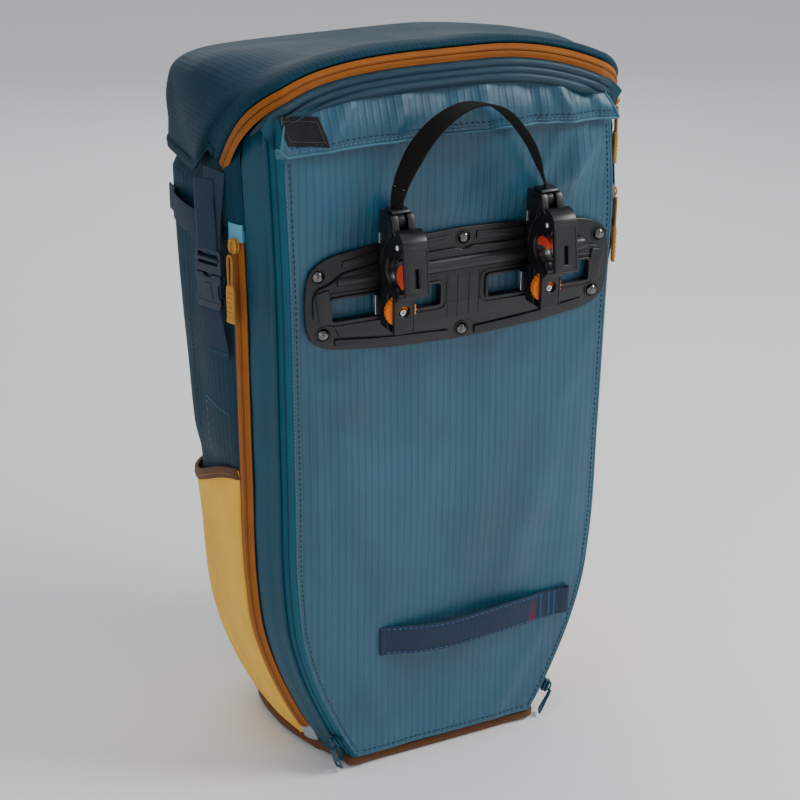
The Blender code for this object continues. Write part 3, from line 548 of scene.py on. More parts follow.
def sweep(name, path, profile, up, scale=None, smooth_angle=50):
    """A profile of (sideways, upward) points pushed along a path."""
    rows = []
    for i, (p, side, lift) in enumerate(frames_along(path, up)):
        size = scale(i) if scale else 1.0
        rows.append([p + (side * a + lift * b) * size for a, b in profile])
    run = distances(path)
    return sheet(name, rows, closed=True, smooth_angle=smooth_angle,
                 weave=lambda r, c, p: (profile[c][0], run[r], profile[c][1]))


def tube(name, path, radius, sides, up):
    return sweep(name, path, disc_loop((0.0, 0.0), radius, sides), up)


def band(name, path, half, thick, up):
    """A flat strap with rounded edges; `up` is the outward side of it."""
    edge = thick / 2
    profile = [(-half + edge, 0), (half - edge, 0), (half - edge * 0.3, edge * 0.3), (half, edge),
               (half - edge * 0.3, thick - edge * 0.3), (half - edge, thick), (-half + edge, thick),
               (-half + edge * 0.3, thick - edge * 0.3), (-half, edge), (-half + edge * 0.3, edge * 0.3)]
    return sweep(name, path, profile, up, smooth_angle=60)


def plate(name, loops, thick, bevel, place):
    """A flat moulding from a 2-D outline, with holes after it, and rounded edges.

    `place` takes (across, up, out of the face) to the frame; the moulding lies from 0 to `thick` out.
    """
    flat = bpy.data.curves.new(name, "CURVE")
    flat.dimensions = "2D"
    flat.fill_mode = "BOTH"
    flat.extrude = thick / 2 - bevel
    flat.bevel_depth = bevel
    flat.bevel_resolution = 3
    flat.offset = -bevel
    for loop in loops:
        line = flat.splines.new("POLY")
        line.points.add(len(loop) - 1)
        line.points.foreach_set("co", [value for a, b in loop for value in (a, b, 0.0, 1.0)])
        line.use_cyclic_u = True
    ob = linked(name, flat)
    mesh = evaluated_mesh(ob)
    bpy.data.objects.remove(ob)
    bpy.data.curves.remove(flat)
    bm = bmesh.new()
    bm.from_mesh(mesh)
    bpy.data.meshes.remove(mesh)
    bm.transform(place @ Matrix.Translation((0, 0, thick / 2)))
    bmesh.ops.remove_doubles(bm, verts=bm.verts, dist=1e-6)
    return new_object(name, bm, 35)


def join(name, obs):
    """One mesh out of several, before it gets its finish."""
    bm = bmesh.new()
    for ob in obs:
        bm.from_mesh(ob.data)
        bpy.data.objects.remove(ob)
    mesh = bpy.data.meshes.new(name)
    bm.to_mesh(mesh)
    bm.free()
    return linked(name, mesh)


def back_facing(x, y, z):
    """Places a plate on the back of the bag: across +X, up +Z, out of the face -Y."""
    turn = Matrix(((1, 0, 0), (0, 0, -1), (0, 1, 0))).to_4x4()
    return Matrix.Translation(at(x, y, z)) @ turn


THREAD_SIDES = 5
THREAD_LIFT = 0.0001     # a stitch lies this far off its cloth


def stitches(name, path, out, spacing=0.0040, length=0.0027, radius=0.00035):
    """A row of short threads lying on a surface along a path; `out` is the surface's outward side."""
    path = [Vector(p) for p in path]
    total = sum((b - a).length for a, b in zip(path, path[1:]))
    count = max(2, int(total / spacing))
    turns = [math.tau * k / THREAD_SIDES for k in range(THREAD_SIDES)]
    points = resample(path, count * 2 + 1)
    bm = bmesh.new()
    half = length / 2
    for k in range(count):
        middle, ahead = points[2 * k + 1], points[2 * k + 2]
        run = (ahead - points[2 * k]).normalized()
        up = Vector(out(2 * k + 1) if callable(out) else out).normalized()
        side = run.cross(up).normalized()
        rings = []
        for share, size in ((-1, 0.25), (-0.6, 0.9), (0.6, 0.9), (1, 0.25)):
            centre = middle + run * half * share + up * (THREAD_LIFT + radius * size * 0.4)
            rings.append([bm.verts.new(centre + (side * math.cos(t) + up * math.sin(t)) * radius * size)
                          for t in turns])
        for low, high in zip(rings, rings[1:]):
            for i in range(THREAD_SIDES):
                j = (i + 1) % THREAD_SIDES
                bm.faces.new((low[i], low[j], high[j], high[i]))
        bm.faces.new(rings[0][::-1])
        bm.faces.new(rings[-1])
    bmesh.ops.recalc_face_normals(bm, faces=bm.faces)
    return new_object(name, bm, 70)


def disc_loop(centre, radius, steps):
    """A circle as an outline."""
    turns = [math.tau * k / steps for k in range(steps)]
    return [(centre[0] + radius * math.cos(t), centre[1] + radius * math.sin(t)) for t in turns]


def lathe(name, profile, place, sides=32):
    """A turned piece: (radius, out) points spun about the `out` axis of `place`."""
    rows = []
    for k in range(sides + 1):
        t = math.tau * k / sides
        rows.append([place @ Vector((r * math.cos(t), r * math.sin(t), out)) for r, out in profile])
    return sheet(name, rows, weld=1e-6, smooth_angle=40)


# ---- the back cover -----------------------------------------------------------------------------
# Creases in the cover and its flap: (x, z) of both ends, height, and half width.
CREASES = [
    ((0.124, 0.505), (0.096, 0.462), 0.0024, 0.0055), ((0.090, 0.500), (0.050, 0.446), 0.0016, 0.0055),
    ((0.124, 0.497), (0.074, 0.452), 0.0034, 0.009), ((0.126, 0.462), (0.084, 0.418), -0.0024, 0.009),
    ((0.104, 0.498), (0.090, 0.450), 0.0015, 0.006), ((0.020, 0.500), (-0.012, 0.452), 0.0012, 0.012),
    ((-0.050, 0.498), (-0.084, 0.452), 0.0011, 0.011), ((-0.108, 0.490), (-0.100, 0.440), 0.0013, 0.008),
    ((0.062, 0.505), (0.030, 0.470), -0.0010, 0.010), ((0.118, 0.350), (0.092, 0.290), 0.0013, 0.010),
    ((0.112, 0.300), (0.104, 0.180), 0.0011, 0.009), ((0.060, 0.345), (0.040, 0.260), 0.0007, 0.012),
    ((-0.100, 0.340), (-0.085, 0.250), 0.0010, 0.012), ((-0.112, 0.330), (-0.108, 0.180), 0.0012, 0.007),
    ((-0.020, 0.350), (-0.045, 0.240), 0.0006, 0.014), ((0.080, 0.250), (0.050, 0.150), 0.0008, 0.014),
    ((-0.070, 0.210), (-0.050, 0.130), 0.0006, 0.012), ((0.085, 0.090), (0.045, 0.020), 0.0012, 0.010),
    ((-0.080, 0.100), (-0.048, 0.020), 0.0010, 0.010), ((0.010, 0.090), (0.000, 0.015), 0.0006, 0.014),
]
PLATE_CLEAR = 0.020      # the cover lies flat against the hook plate this far around it
LOOP_LOW, LOOP_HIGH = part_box("lamp_loop")
LOOP_Z = (LOOP_LOW.z + LOOP_HIGH.z) / 2
LOOP_SEAMS = (LOOP_LOW.x + 0.006, LOOP_HIGH.x - 0.030)


def crease_height(x, z, creases):
    """The summed height of soft folds at a place."""
    total = 0.0
    for (x0, z0), (x1, z1), height, width in creases:
        dx, dz = x1 - x0, z1 - z0
        t = ((x - x0) * dx + (z - z0) * dz) / (dx * dx + dz * dz)
        taper = smooth(-0.25, 0.2, t) * (1 - smooth(0.8, 1.25, t))
        if taper > 0:
            off = (x - x0 - t * dx)**2 + (z - z0 - t * dz)**2
            total += height * taper * math.exp(-off / width**2)
    return total


def cover_rise(x, z):
    """How far the cover stands out from its flat, in front of its foam."""
    share = min(1.0, abs(x) / cover_half(z))
    ease = 1 - share**5
    off_plate = max(abs(x - PLATE_X) - 0.118, abs(z - PLATE_Z) - 0.040, 0.0)
    free = smooth(0.0, PLATE_CLEAR, off_plate)
    off_seam = min(math.hypot(x - seam, max(0.0, abs(z - LOOP_Z) - 0.012)) for seam in LOOP_SEAMS)
    free *= 0.25 + 0.75 * smooth(0.0, 0.022, off_seam)
    belly = 0.0046 * math.exp(-((z - 0.235) / 0.085)**2) + 0.0022 * math.exp(-((z - 0.478) / 0.03)**2)
    ripple = 0.0018 * noise_at(x * 13 + 3.1, z * 7.5, 0.4)
    ripple += 0.00045 * noise_at(x * 42, z * 26, 2.0)
    ripple += 0.0005 * math.sin(x * 118 + 2.2 * math.sin(z * 17)) * smooth(0.05, 0.2, z)
    return ease * free * (belly + ripple + 1.5 * crease_height(x, z, CREASES)) + 0.0004 * (1 - ease)


def cover_point(x, z, lift=0.0):
    """A point of the cover's outer face, or `lift` off it."""
    return at(x, -cover_rise(x, z) - lift, z)


def flat_weave(row, column, p):
    """Weave coordinates of a piece that faces the back or the far side."""
    return (p[0], p[2], 0.0)


def back_cover():
    """One sheet from the foot to under the flap, rolled under along its edges."""
    columns, rows = 96, 190
    grid = []
    for r in range(rows + 1):
        z = lerp(COVER_FOOT, COVER_HEAD, r / rows)
        half = cover_half(z)
        line = [at(-half + 0.0012, 0.0026, z), at(-half, 0.0014, z)]
        line += [cover_point(lerp(-half + 0.0004, half - 0.0004, c / columns), z)
                 for c in range(columns + 1)]
        line += [at(half, 0.0014, z), at(half - 0.0012, 0.0026, z)]
        grid.append(line)
    ob = sheet("cover_sheet", facing(grid, TO_BACK), 0.0016, weave=lambda r, c, p: (p[0], p[2], p[1]))
    ride(ob, "cover", "tarpaulin", replaces=["cover_upper", "cover_lower"])
    for inset, thread, name in ((0.0010, "pale_thread", "outer"), (0.0040, "teal_thread", "inner")):
        for side, sign in SIGN.items():
            path = [cover_point(sign * (cover_half(z) - inset), z, 0.0001)
                    for z in np.linspace(COVER_FOOT + 0.004, 0.500, 90)]
            gap = 0.0030 if name == "outer" else 0.0042
            seam = stitches(f"cover_seam_{name}_{side}", path, TO_BACK, gap, gap * 0.68, 0.00032)
            ride(seam, "cover", thread)
    foot = [cover_point(x, COVER_FOOT + 0.0045, 0.0001) for x in np.linspace(-0.072, 0.072, 40)]
    ride(stitches("cover_seam_foot", foot, TO_BACK), "cover", "teal_thread")
    ride(lining_pad(), "root", "grey_mesh", replaces=["back_pad"])


def lining_pad():
    """The quilted foam pad under the cover, in three channels."""
    low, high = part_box("back_pad")
    near, far = low.y - BACK + 0.0006, high.y - BACK
    grid = []
    for r in range(61):
        z = lerp(low.z, high.z, r / 60)
        half = min(high.x, lerp(0.070, high.x, smooth(low.z, 0.13, z)))
        line = []
        for c in range(49):
            s = lerp(-1, 1, c / 48)
            edge = (1 - abs(s)**6) * (1 - abs(lerp(-1, 1, r / 60))**14)
            channel = 0.45 + 0.55 * min(1.0, abs(abs(s) - 0.34) / 0.07)
            line.append(at(half * s, far - (far - near) * edge * channel, z))
        grid.append(line)
    ob = sheet("lining_pad", facing(grid, TO_BACK), 0.0012, weave=flat_weave)
    return ob


def zipper(name, path, out, half, tape, bodies, replaces=()):
    """A coil zip seen from its flat side: two tapes that meet in a fine groove over the coil."""
    for sign, body, word in ((-1, bodies[0], "a"), (1, bodies[1], "b")):
        profile = [(0.0002, -0.0010), (0.0002, 0.0000), (0.0006, 0.0006), (0.0016, 0.0008), (0.0026, 0.0006),
                   (0.0032, 0.0001), (half * 0.8, 0.0), (half, -0.0001), (half, -0.0008)]
        rows = []
        for p, side, lift in frames_along(path, out):
            rows.append([p + side * a * sign + lift * b for a, b in profile])
        run = distances(path)
        look = out(len(path) // 2) if callable(out) else out
        ob = sheet(f"{name}_tape_{word}", facing(rows, look), 0.0004, smooth_angle=45,
                   weave=lambda r, c, p: (c * 0.0008, run[min(r, len(run) - 1)], 0.0))
        ride(ob, body, tape, replaces=replaces if word == "a" else ())
        line = [p + side * 0.0013 * sign + lift * 0.00075 for p, side, lift in frames_along(path, out)]
        thread = stitches(f"{name}_coil_{word}", line, out, 0.0018, 0.0011, 0.00022)
        ride(thread, body, "binding" if tape == "orange_tape" else "teal_thread")


def cover_zips():
    """The teal zips beside the cover; the tape on the cover's side is baked in place like the cover."""
    for side, sign in SIGN.items():
        path = [border(sign, z, ZIP_RUN) for z in np.linspace(0.010, 0.531, 115)]
        out = border_out(sign)
        towards_x = frames_along(path, out)[0][1].x
        bodies = ("cover", "root") if towards_x * sign > 0 else ("root", "cover")
        zipper(f"cover_zip_{side}", path, out, ZIP_HALF, "teal_tape", bodies, [f"cover_zip_{side}"])


def border_top(run):
    """Where the lid's zip crosses the border."""
    return LID_SHOULDER - (LEAN[1] * run - LID_ZIP_DEPTH) / LID_LEAN - 0.0005


def rims():
    """The border between the two zips: its edge is rolled over the teal zip."""
    profile = [(0.0140, -0.0040), (0.0124, -0.0012), (0.0121, 0.0012), (0.0127, 0.0026), (0.0140, 0.0032),
               (0.0156, 0.0029), (0.0172, 0.0018), (0.0190, 0.0010), (0.0225, 0.0009), (0.0270, 0.0015),
               (0.0320, 0.0014), (0.0365, 0.0007), (0.0398, -0.0006), (0.0410, -0.0028)]
    shoulder_profile = [(0.0392, 0.0002), (0.0420, 0.0010), (0.0460, 0.0013), (0.0510, 0.0012),
                        (0.0560, 0.0008), (0.0600, -0.0006)]
    for side, sign in SIGN.items():
        grid = []
        for t in np.linspace(0, 1, 150):
            row = []
            for run, lift in profile:
                z = lerp(0.004, border_top(run), t)
                wave = 0.0007 * noise_at(sign * 4.0, z * 22, run * 60) * smooth(0.011, 0.018, run)
                sink = 0.0030 * smooth(0.965, 1.0, t)
                roll = 1.0 if sign < 0 else 0.35
                raised = lift * (roll if lift > 0 else 1)
                row.append(border(sign, z, run, raised - sink + wave))
            grid.append(row)
        ob = sheet(f"rim_{side}", facing(grid, border_out(sign)), 0.0006,
                   weave=lambda r, c, p: (c * 0.002, p[2], 0.0))
        ride(ob, "root", "rim")
        shoulder = []
        for t in np.linspace(0, 1, 24):
            sink = 0.0025 * smooth(0.85, 1.0, t)
            shoulder.append([border(sign, lerp(0.4440, border_top(run), t), run, lift - sink)
                             for run, lift in shoulder_profile])
        ride(sheet(f"shoulder_{side}", facing(shoulder, border_out(sign)), 0.0006,
                   weave=lambda r, c, p: (c * 0.003, p[2], 0.0)), "root", "dark_tarpaulin")


def gusset_zips():
    """The orange zips down the back corners, with a folded tab over each end."""
    for side, sign in SIGN.items():
        low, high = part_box(f"gusset_zip_{side}")
        path = [border(sign, z, GUSSET_RUN, 0.0006) for z in np.linspace(low.z, high.z, 120)]
        out = border_out(sign)
        zipper(f"gusset_zip_{side}", path, out, 0.0060, "orange_tape", ("root", "root"),
               [f"gusset_zip_{side}"])
        tab(f"zip_head_tab_{side}", path[-3] + Vector((0, 0, 0.0125)), path[-3], out, 0.0066,
            "reflective_blue")
        tab(f"zip_foot_tab_{side}", path[0] + Vector((0, 0, 0.006)), border(sign, 0.010, GUSSET_RUN), out,
            0.0072, "reflective")


def tab(name, top, bottom, out, half, finish):
    """A short folded tape over the end of a zip."""
    path = [lerp(top, bottom, k / 8) for k in range(9)]
    profile = [(-half, -0.0012), (-half * 0.98, 0.0012), (-half * 0.5, 0.0019), (0, 0.0021),
               (half * 0.5, 0.0019), (half * 0.98, 0.0012), (half, -0.0012)]
    ride(sweep(name, path, profile, out, smooth_angle=60), "root", finish)


# ---- the lid, its zip and the collar ------------------------------------------------------------
ARCH_HALF = HOOD_HALF - HOOD_LIP
ARCH_TOP = LID_TOP - HOOD_LIP
ARCH_BASE = 0.490
ROUNDNESS = 2 / 3.2
LID_ZIP_FOOT = 0.486     # where the lid's zip ends on both sides


def arch(extra, count=97, foot=None, roundness=ROUNDNESS):
    """The lid zip's line, `extra` outside its middle, as (x, z) points from the left foot to the right."""
    half, rise = ARCH_HALF + extra, ARCH_TOP - ARCH_BASE + extra
    quarter = []
    for k in range(181):
        t = math.radians(k / 2)
        across = half * math.cos(t)**roundness if k < 180 else 0.0
        quarter.append((across, ARCH_BASE + rise * math.sin(t)**roundness))
    right = ([(half, foot)] if foot else []) + quarter
    whole = [(-x, z) for x, z in right] + [(x, z) for x, z in right[-2::-1]]
    return [(p.x, p.y) for p in resample([(x, z, 0) for x, z in whole], count)]


def lid_recede(z):
    """How far the lid's zip runs back below its shoulder."""
    return LID_LEAN * max(0.0, LID_SHOULDER - z)


def lid_frames(count, foot, extra=0.0):
    """(point, towards the lid, outward) along the lid's zip, `extra` outside its middle."""
    path = [at(x, LID_ZIP_DEPTH + lid_recede(z), z) for x, z in arch(0.0, count, foot)]
    turned = [min(1.0, max(0.0, (0.553 - p.z) / 0.040)) for p in path]
    outs = [Vector((math.copysign(t, p.x), -1.0 + 0.69 * t, 0)) for p, t in zip(path, turned)]
    return [(p - side * extra, -side, out, t)
            for (p, side, out), t in zip(frames_along(path, lambda i: outs[i]), turned)]


def hood():
    """The lid: its front edge rolls over the zip, its sides hang to a stitched hem."""
    count = 121
    lip = [(0.0040, -0.0040), (0.0046, -0.0016), (0.0058, -0.0004), (0.0070, -0.0006), (0.0082, -0.0024),
           (0.0090, -0.0056), (0.0093, -0.0100)]
    flat_lip = [(0.0050, -0.0034), (0.0052, -0.0004), (0.0062, 0.0012), (0.0076, 0.0018), (0.0094, 0.0016),
                (0.0120, 0.0014), (0.0150, 0.0014)]
    radius = 0.030
    far = HOOD_FAR - radius
    middle = (count - 1) / 2
    height = LID_TOP - HOOD_FOOT

    def settle(x, depth, z, i):
        """Sag and creases of the lid."""
        share = 1 - abs(i - middle) / middle
        top = smooth(0.25, 0.7, share)
        fall = 0.021 * (depth / far) * max(0.0, z - HOOD_FOOT) / height
        sag = 0.004 * math.sin(math.pi * min(1.0, depth / far)) * top * (1 - (x / HOOD_HALF)**2)
        ripple = 0.0016 * noise_at(x * 11, depth * 16, 5.0) * top
        side = 0.0018 * noise_at(depth * 20, z * 24, 9.0 + (x > 0)) * (1 - top) * smooth(0.0, 0.03, depth)
        side += 0.0022 * math.sin(math.pi * min(1.0, depth / far)) * (1 - top) * smooth(HOOD_FOOT, 0.50, z)
        return x + math.copysign(side, x), z - fall - sag + ripple

    rings = []
    along = lid_frames(count, LID_ZIP_FOOT)
    for (across, lift), (flat_across, flat_lift) in zip(lip, flat_lip):
        rings.append([p + side * lerp(across, flat_across, t) + out * lerp(lift, flat_lift, t)
                      for p, side, out, t in along])
    base = arch(lip[-1][0], count, HOOD_FOOT)
    boxy = arch(lip[-1][0], count, HOOD_FOOT, 2 / 6.5)
    start = rings[-1]
    for step in range(1, 27):
        row = []
        for i, (x, z) in enumerate(base):
            depth = lerp(start[i].y - BACK, far, step / 26)
            gone = smooth(0.0, 0.030, depth - (start[i].y - BACK))
            square = smooth(0.02, 0.11, depth)
            x, z = lerp(x, boxy[i][0], square), lerp(z, boxy[i][1], square)
            x, z = settle(x, depth, z, i)
            x, z = lerp(start[i].x, x, gone), lerp(start[i].z, z, gone)
            row.append(at(x * (1 - 0.030 * (depth / far)**2 * gone), depth, z))
        rings.append(row)
    last = rings[-1]
    for turn in range(10, 91, 10):
        t = math.radians(turn)
        pull = radius * (1 - math.cos(t))
        row = []
        for i, p in enumerate(last):
            drop = 0.014 * (turn / 90) * (p.z - HOOD_FOOT) / height
            row.append(at(p.x * (1 - pull / HOOD_HALF), far + radius * math.sin(t), p.z - drop))
        rings.append(row)
    end = rings[-1]
    bm = bmesh.new()
    layer = bm.verts.layers.float_vector.new("weave")
    add_grid(bm, layer, rings, lambda r, c, p: (c * 0.0044, p.y, 0.0))
    foot_middle = (end[0] + end[-1]) / 2
    closing = [[lerp(p, foot_middle, share) + Vector((0, 0.0015 * math.sin(math.pi * share), 0))
                for p in end]
               for share in [0, 0.004] + list(np.linspace(0.03, 0.99, 33))]
    add_grid(bm, layer, closing, flat_weave)
    bmesh.ops.remove_doubles(bm, verts=bm.verts, dist=1e-5)
    bmesh.ops.recalc_face_normals(bm, faces=bm.faces)
    ob = new_object("lid_shell", bm, 60)
    thicken(ob, 0.0018, 60)
    ride(ob, "lid", "dark_tarpaulin", replaces=["hood"])

    around = [ring[0] for ring in rings[3:]] + [ring[-1] for ring in rings[:2:-1]]
    hem = [Vector((p.x * 1.003, p.y + (0.0004 if p.y > BACK + far else 0.0), p.z + 0.0035)) for p in around]
    middle_point = at(0, far / 2, HOOD_FOOT)

    def outward(i):
        return Vector((hem[i].x, (hem[i].y - middle_point.y) * 1.2, 0))
    profile = [(-0.0036, -0.0006), (-0.0034, 0.0006), (0.0030, 0.0008), (0.0036, 0.0000), (0.0030, -0.0008)]
    ride(sweep("lid_hem", hem, profile, outward, smooth_angle=60), "lid", "dark_tarpaulin")
    thread = [p + outward(i).normalized() * 0.0008 + Vector((0, 0, 0.0012)) for i, p in enumerate(hem)]
    last = len(thread) - 1
    seam = stitches("lid_hem_stitch", thread, lambda k: thread[min(k // 2, last)] - middle_point, 0.0046)
    ride(seam, "lid", "teal_thread")


def lid_zip():
    """The orange zip round the lid; its outer tape goes with the lid."""
    frames = lid_frames(141, LID_ZIP_FOOT, -0.0004)
    path = [frame_at[0] for frame_at in frames]
    zipper("lid_zip", path, lambda i: frames[min(i, 140)][2], 0.0046, "orange_tape", ("root", "lid"),
           ["lid_zip"])


def collar():
    """Rolled folds between the lid zip and the flap, over a flat collar."""
    top = [(x, z) for x, z in arch(-0.0048, 97, 0.478) if z > 0.522]
    rows = []
    for share in np.linspace(0, 1, 10):
        rows.append([at(x * (1 - 0.10 * share), 0.0034 + 0.001 * share, lerp(z, min(z, 0.500), share))
                     for x, z in top])
    ride(sheet("collar", facing(rows, TO_BACK), 0.0008, weave=flat_weave),
         "root", "rim", replaces=["back_frame"])
    profile = [(-1.0, -0.4), (-0.9, 0.25), (-0.55, 0.72), (0, 0.9), (0.55, 0.72), (0.9, 0.25), (1.0, -0.4)]
    for name, extra, lift, size, trim, fade in (("upper", -0.0084, 0.0, 0.0030, 0.516, 0.06),
                                                ("middle", -0.0134, 0.0010, 0.0030, 0.519, 0.22),
                                                ("lower", -0.0182, 0.0022, 0.0036, 0.522, 0.34)):
        frames = [(p, out) for p, _, out, _ in lid_frames(120, LID_ZIP_FOOT, extra) if p.z > trim]
        path = [p + out * (lift + 0.0006 * noise_at(p.x * 30, extra * 90, 0.0)) for p, out in frames]
        last = len(path) - 1

        def size_at(i, size=size, last=last, fade=fade):
            return size * smooth(-0.02, fade, i / last) * (1 - smooth(0.94, 1.02, i / last)) + 0.0002
        ob = sweep(f"collar_fold_{name}", path, profile, lambda i, frames=frames: frames[i][1],
                   scale=size_at, smooth_angle=60)
        ride(ob, "root", "tarpaulin")


FLAP_HALF = 0.135
FLAP_CREASES = [
    ((-0.070, 0.552), (-0.100, 0.506), 0.0022, 0.007), ((-0.030, 0.556), (-0.052, 0.504), 0.0018, 0.008),
    ((0.000, 0.556), (-0.012, 0.505), -0.0014, 0.007), ((0.030, 0.556), (0.022, 0.504), 0.0018, 0.007),
    ((0.062, 0.552), (0.066, 0.504), -0.0018, 0.006), ((0.084, 0.550), (0.096, 0.504), 0.0024, 0.006),
    ((0.104, 0.544), (0.116, 0.505), -0.0016, 0.005), ((-0.112, 0.536), (-0.124, 0.508), -0.0010, 0.006),
]


def flap_bottom(x):
    """Height of the flap's lower edge."""
    return 0.5045 + 0.0035 * (1 - (x / FLAP_HALF)**2)


def flap_top(x):
    """Height of the flap's top edge, just inside the lid zip's arch."""
    return ARCH_BASE + (ARCH_TOP - ARCH_BASE - 0.016) * max(0.0, 1 - (abs(x) / 0.1445)**3.2)**(1 / 3.2)


def flap_depth(x, z):
    """The flap hangs clear of the cover at its lower edge and dips under the collar folds at its top."""
    low, high = flap_bottom(x), flap_top(x)
    down = 1 - (z - low) / max(0.004, high - low)
    rise = 1.5 * crease_height(x, z, FLAP_CREASES) * smooth(-0.05, 0.3, down)
    rise += 0.0007 * noise_at(x * 34, z * 30, 7.0) * smooth(0.0, 0.4, down)
    return lerp(0.0012, -0.0062, smooth(0.0, 0.75, down)) - rise


def storm_flap():
    """The stitched flap over the cover's top edge."""
    left, right = -0.1365, 0.1335
    columns, rows = 120, 26
    grid = []
    for r in range(rows + 1):
        line = []
        for c in range(columns + 1):
            x = lerp(left, right, c / columns)
            t = r / rows
            lean = 0.010 * t * smooth(0.6, 1.0, abs(lerp(-1, 1, c / columns)))
            x += lean if x < 0 else -lean * 0.9
            z = lerp(flap_bottom(x), flap_top(x), t)
            if r == 0:
                z += 0.007 * (1 - smooth(left, left + 0.011, x))**2
            line.append(at(x, flap_depth(x, z), z))
        grid.append(line)
    ob = sheet("flap_sheet", facing(grid, TO_BACK), 0.0012,
               weave=lambda r, c, p: (p[0], p[2], p[1]))
    ride(ob, "root", "tarpaulin", replaces=["storm_flap"])
    left_edge = [grid[r][0] for r in range(rows - 4, 0, -1)]
    right_edge = [grid[r][-1] for r in range(1, rows - 3)]
    edge = left_edge + grid[0] + right_edge
    ride(tube("flap_edge", resample(edge, 220), 0.0009, 8, (0, -1, 0.1)), "root", "edge_teal")
    for inset, name, finish, spacing, length in ((0.0028, "outer", "pale_thread", 0.0032, 0.0021),
                                                 (0.0058, "inner", "teal_thread", 0.0040, 0.0026)):
        xs = np.linspace(left + 0.004 + inset, right - inset, 120)
        path = []
        for x in xs:
            z = flap_bottom(x) + inset + 0.006 * (1 - smooth(left + inset, left + 0.012, x))**2
            path.append(at(x, flap_depth(x, z) - 0.0002, z))
        ride(stitches(f"flap_seam_{name}", path, (0, -1, 0.15), spacing, length), "root", finish)
    woven_label()


def woven_label():
    """A plain woven label sewn to the flap's upper left corner."""
    corners = [(-0.1325, 0.5315), (-0.1040, 0.5290), (-0.0990, 0.5095), (-0.1275, 0.5125)]
    grid = []
    for r in range(13):
        line = []
        for c in range(25):
            s, t = c / 24, r / 12
            x = lerp(lerp(corners[0][0], corners[1][0], s), lerp(corners[3][0], corners[2][0], s), t)
            z = lerp(lerp(corners[0][1], corners[1][1], s), lerp(corners[3][1], corners[2][1], s), t)
            line.append(at(x, flap_depth(x, z) - 0.0006, z))
        grid.append(line)
    ob = sheet("woven_label", facing(grid, TO_BACK), 0.0005, weave=flat_weave)
    ride(ob, "root", "label")
    inner = [grid[2][c] for c in range(2, 23)] + [grid[r][22] for r in range(3, 11)]
    inner += [grid[10][c] for c in range(21, 1, -1)] + [grid[r][2] for r in range(9, 1, -1)]
    ride(stitches("label_border", inner, TO_BACK, 0.0016, 0.0015, 0.00022), "root", "label_edge")


# ---- walls and pockets --------------------------------------------------------------------------
def wall_x(z, depth):
    """Half width of the bag behind the border: the border's slant eases into the side."""
    half = side_half(z)
    knee = min(cover_half(z) + LEAN[0] * SLANT_RUN, half - 0.0015)
    if depth <= LEAN[1] * SLANT_RUN:
        return min(cover_half(z) + LEAN[0] * depth / LEAN[1], half - 0.0015)
    share = min(1.0, (depth - LEAN[1] * SLANT_RUN) / 0.046)
    return lerp(knee, half, 1 - (1 - share)**1.8)


def wall_outline(z, count):
    """Half the bag's outline at height z, from under the orange zip to the middle of the far wall."""
    half, far = side_half(z), far_depth(z) - 0.0008
    corner = 0.036
    points = [(wall_x(z, 0.034) - 0.0030, 0.0345), (wall_x(z, 0.038) - 0.0010, 0.0382)]
    for depth in np.linspace(0.043, far - corner - 0.008, 8):
        points.append((wall_x(z, depth) - 0.0004, depth))
    points += arc((half - corner, far - corner), corner, 4, 86, 8)
    points += [(half - corner - 0.012, far), (0.0, far + 0.003 * smooth(0.05, 0.2, z))]
    curve = spline([(x, y, 0) for x, y in points], count)
    return [(p.x, p.y) for p in curve]


def wall_sway(x, y, z):
    """Soft unevenness of the side and far walls."""
    low = smooth(0.0, 0.05, z) * (1 - smooth(0.462, 0.478, z))
    wave = 0.0022 * noise_at(x * 9 + 1.7, y * 15, z * 8)
    wave += 0.0007 * noise_at(x * 30, y * 42, z * 22)
    return wave * low


def body_walls():
    """The bag's skin: sides, far wall and base, stepping in behind the pockets."""
    half_count = 44
    levels = list(np.linspace(0.0, 0.02, 6)) + list(np.linspace(0.03, LID_ZIP_FOOT, 92))
    rows = []
    for z in levels:
        row = []
        for x, y in wall_outline(z, half_count):
            behind = smooth(0.02, 0.06, z) * (1 - smooth(0.236, 0.262, z))
            behind *= smooth(0.046, 0.056, y) * smooth(side_half(z) * 0.55, side_half(z) * 0.72, x)
            tuck = 0.0030 * behind + 0.005 * smooth(0.462, 0.470, z)
            sway = wall_sway(x, y, z) * smooth(0.018, 0.05, y)
            row.append((x - tuck * (x > 0.02) + sway * 0.6, y + sway * 0.6, z))
        rows.append([at(x, y, z) for x, y, z in row] + [at(-x, y, z) for x, y, z in row[-2::-1]])
    ob = sheet("wall_skin", facing(rows, (0, 1, 0)), 0.0014, weave=lambda r, c, p: (c * 0.0049, p[2], 0.0))
    ride(ob, "root", "dark_tarpaulin", replaces=["body_shell"])
    inner = []
    for z in np.linspace(0.004, SHELL_TOP - 0.002, 40):
        half = cover_half(z) + LEAN[0] / LEAN[1] * SHELL_NEAR - 0.0035
        inner.append([at(lerp(-half, half, k / 30), SHELL_NEAR + 0.0002, z) for k in range(31)])
    ride(sheet("inner_back", facing(inner, TO_BACK), 0.0010, weave=flat_weave), "root", "lining")
    base = []
    ring = wall_outline(0.0, half_count)
    whole = ring + [(-x, y) for x, y in ring[-2::-1]]
    for share in np.linspace(0.02, 1.0, 14):
        base.append([at(x * share, lerp(0.075, y, share), 0.0006) for x, y in whole])
    ride(sheet("base_panel", facing(base, (0, 0, -1)), 0.0010, weave=lambda r, c, p: (p[0], p[1], 0.0)),
         "root", "dark_tarpaulin")
    side_seams()
    base_binding()


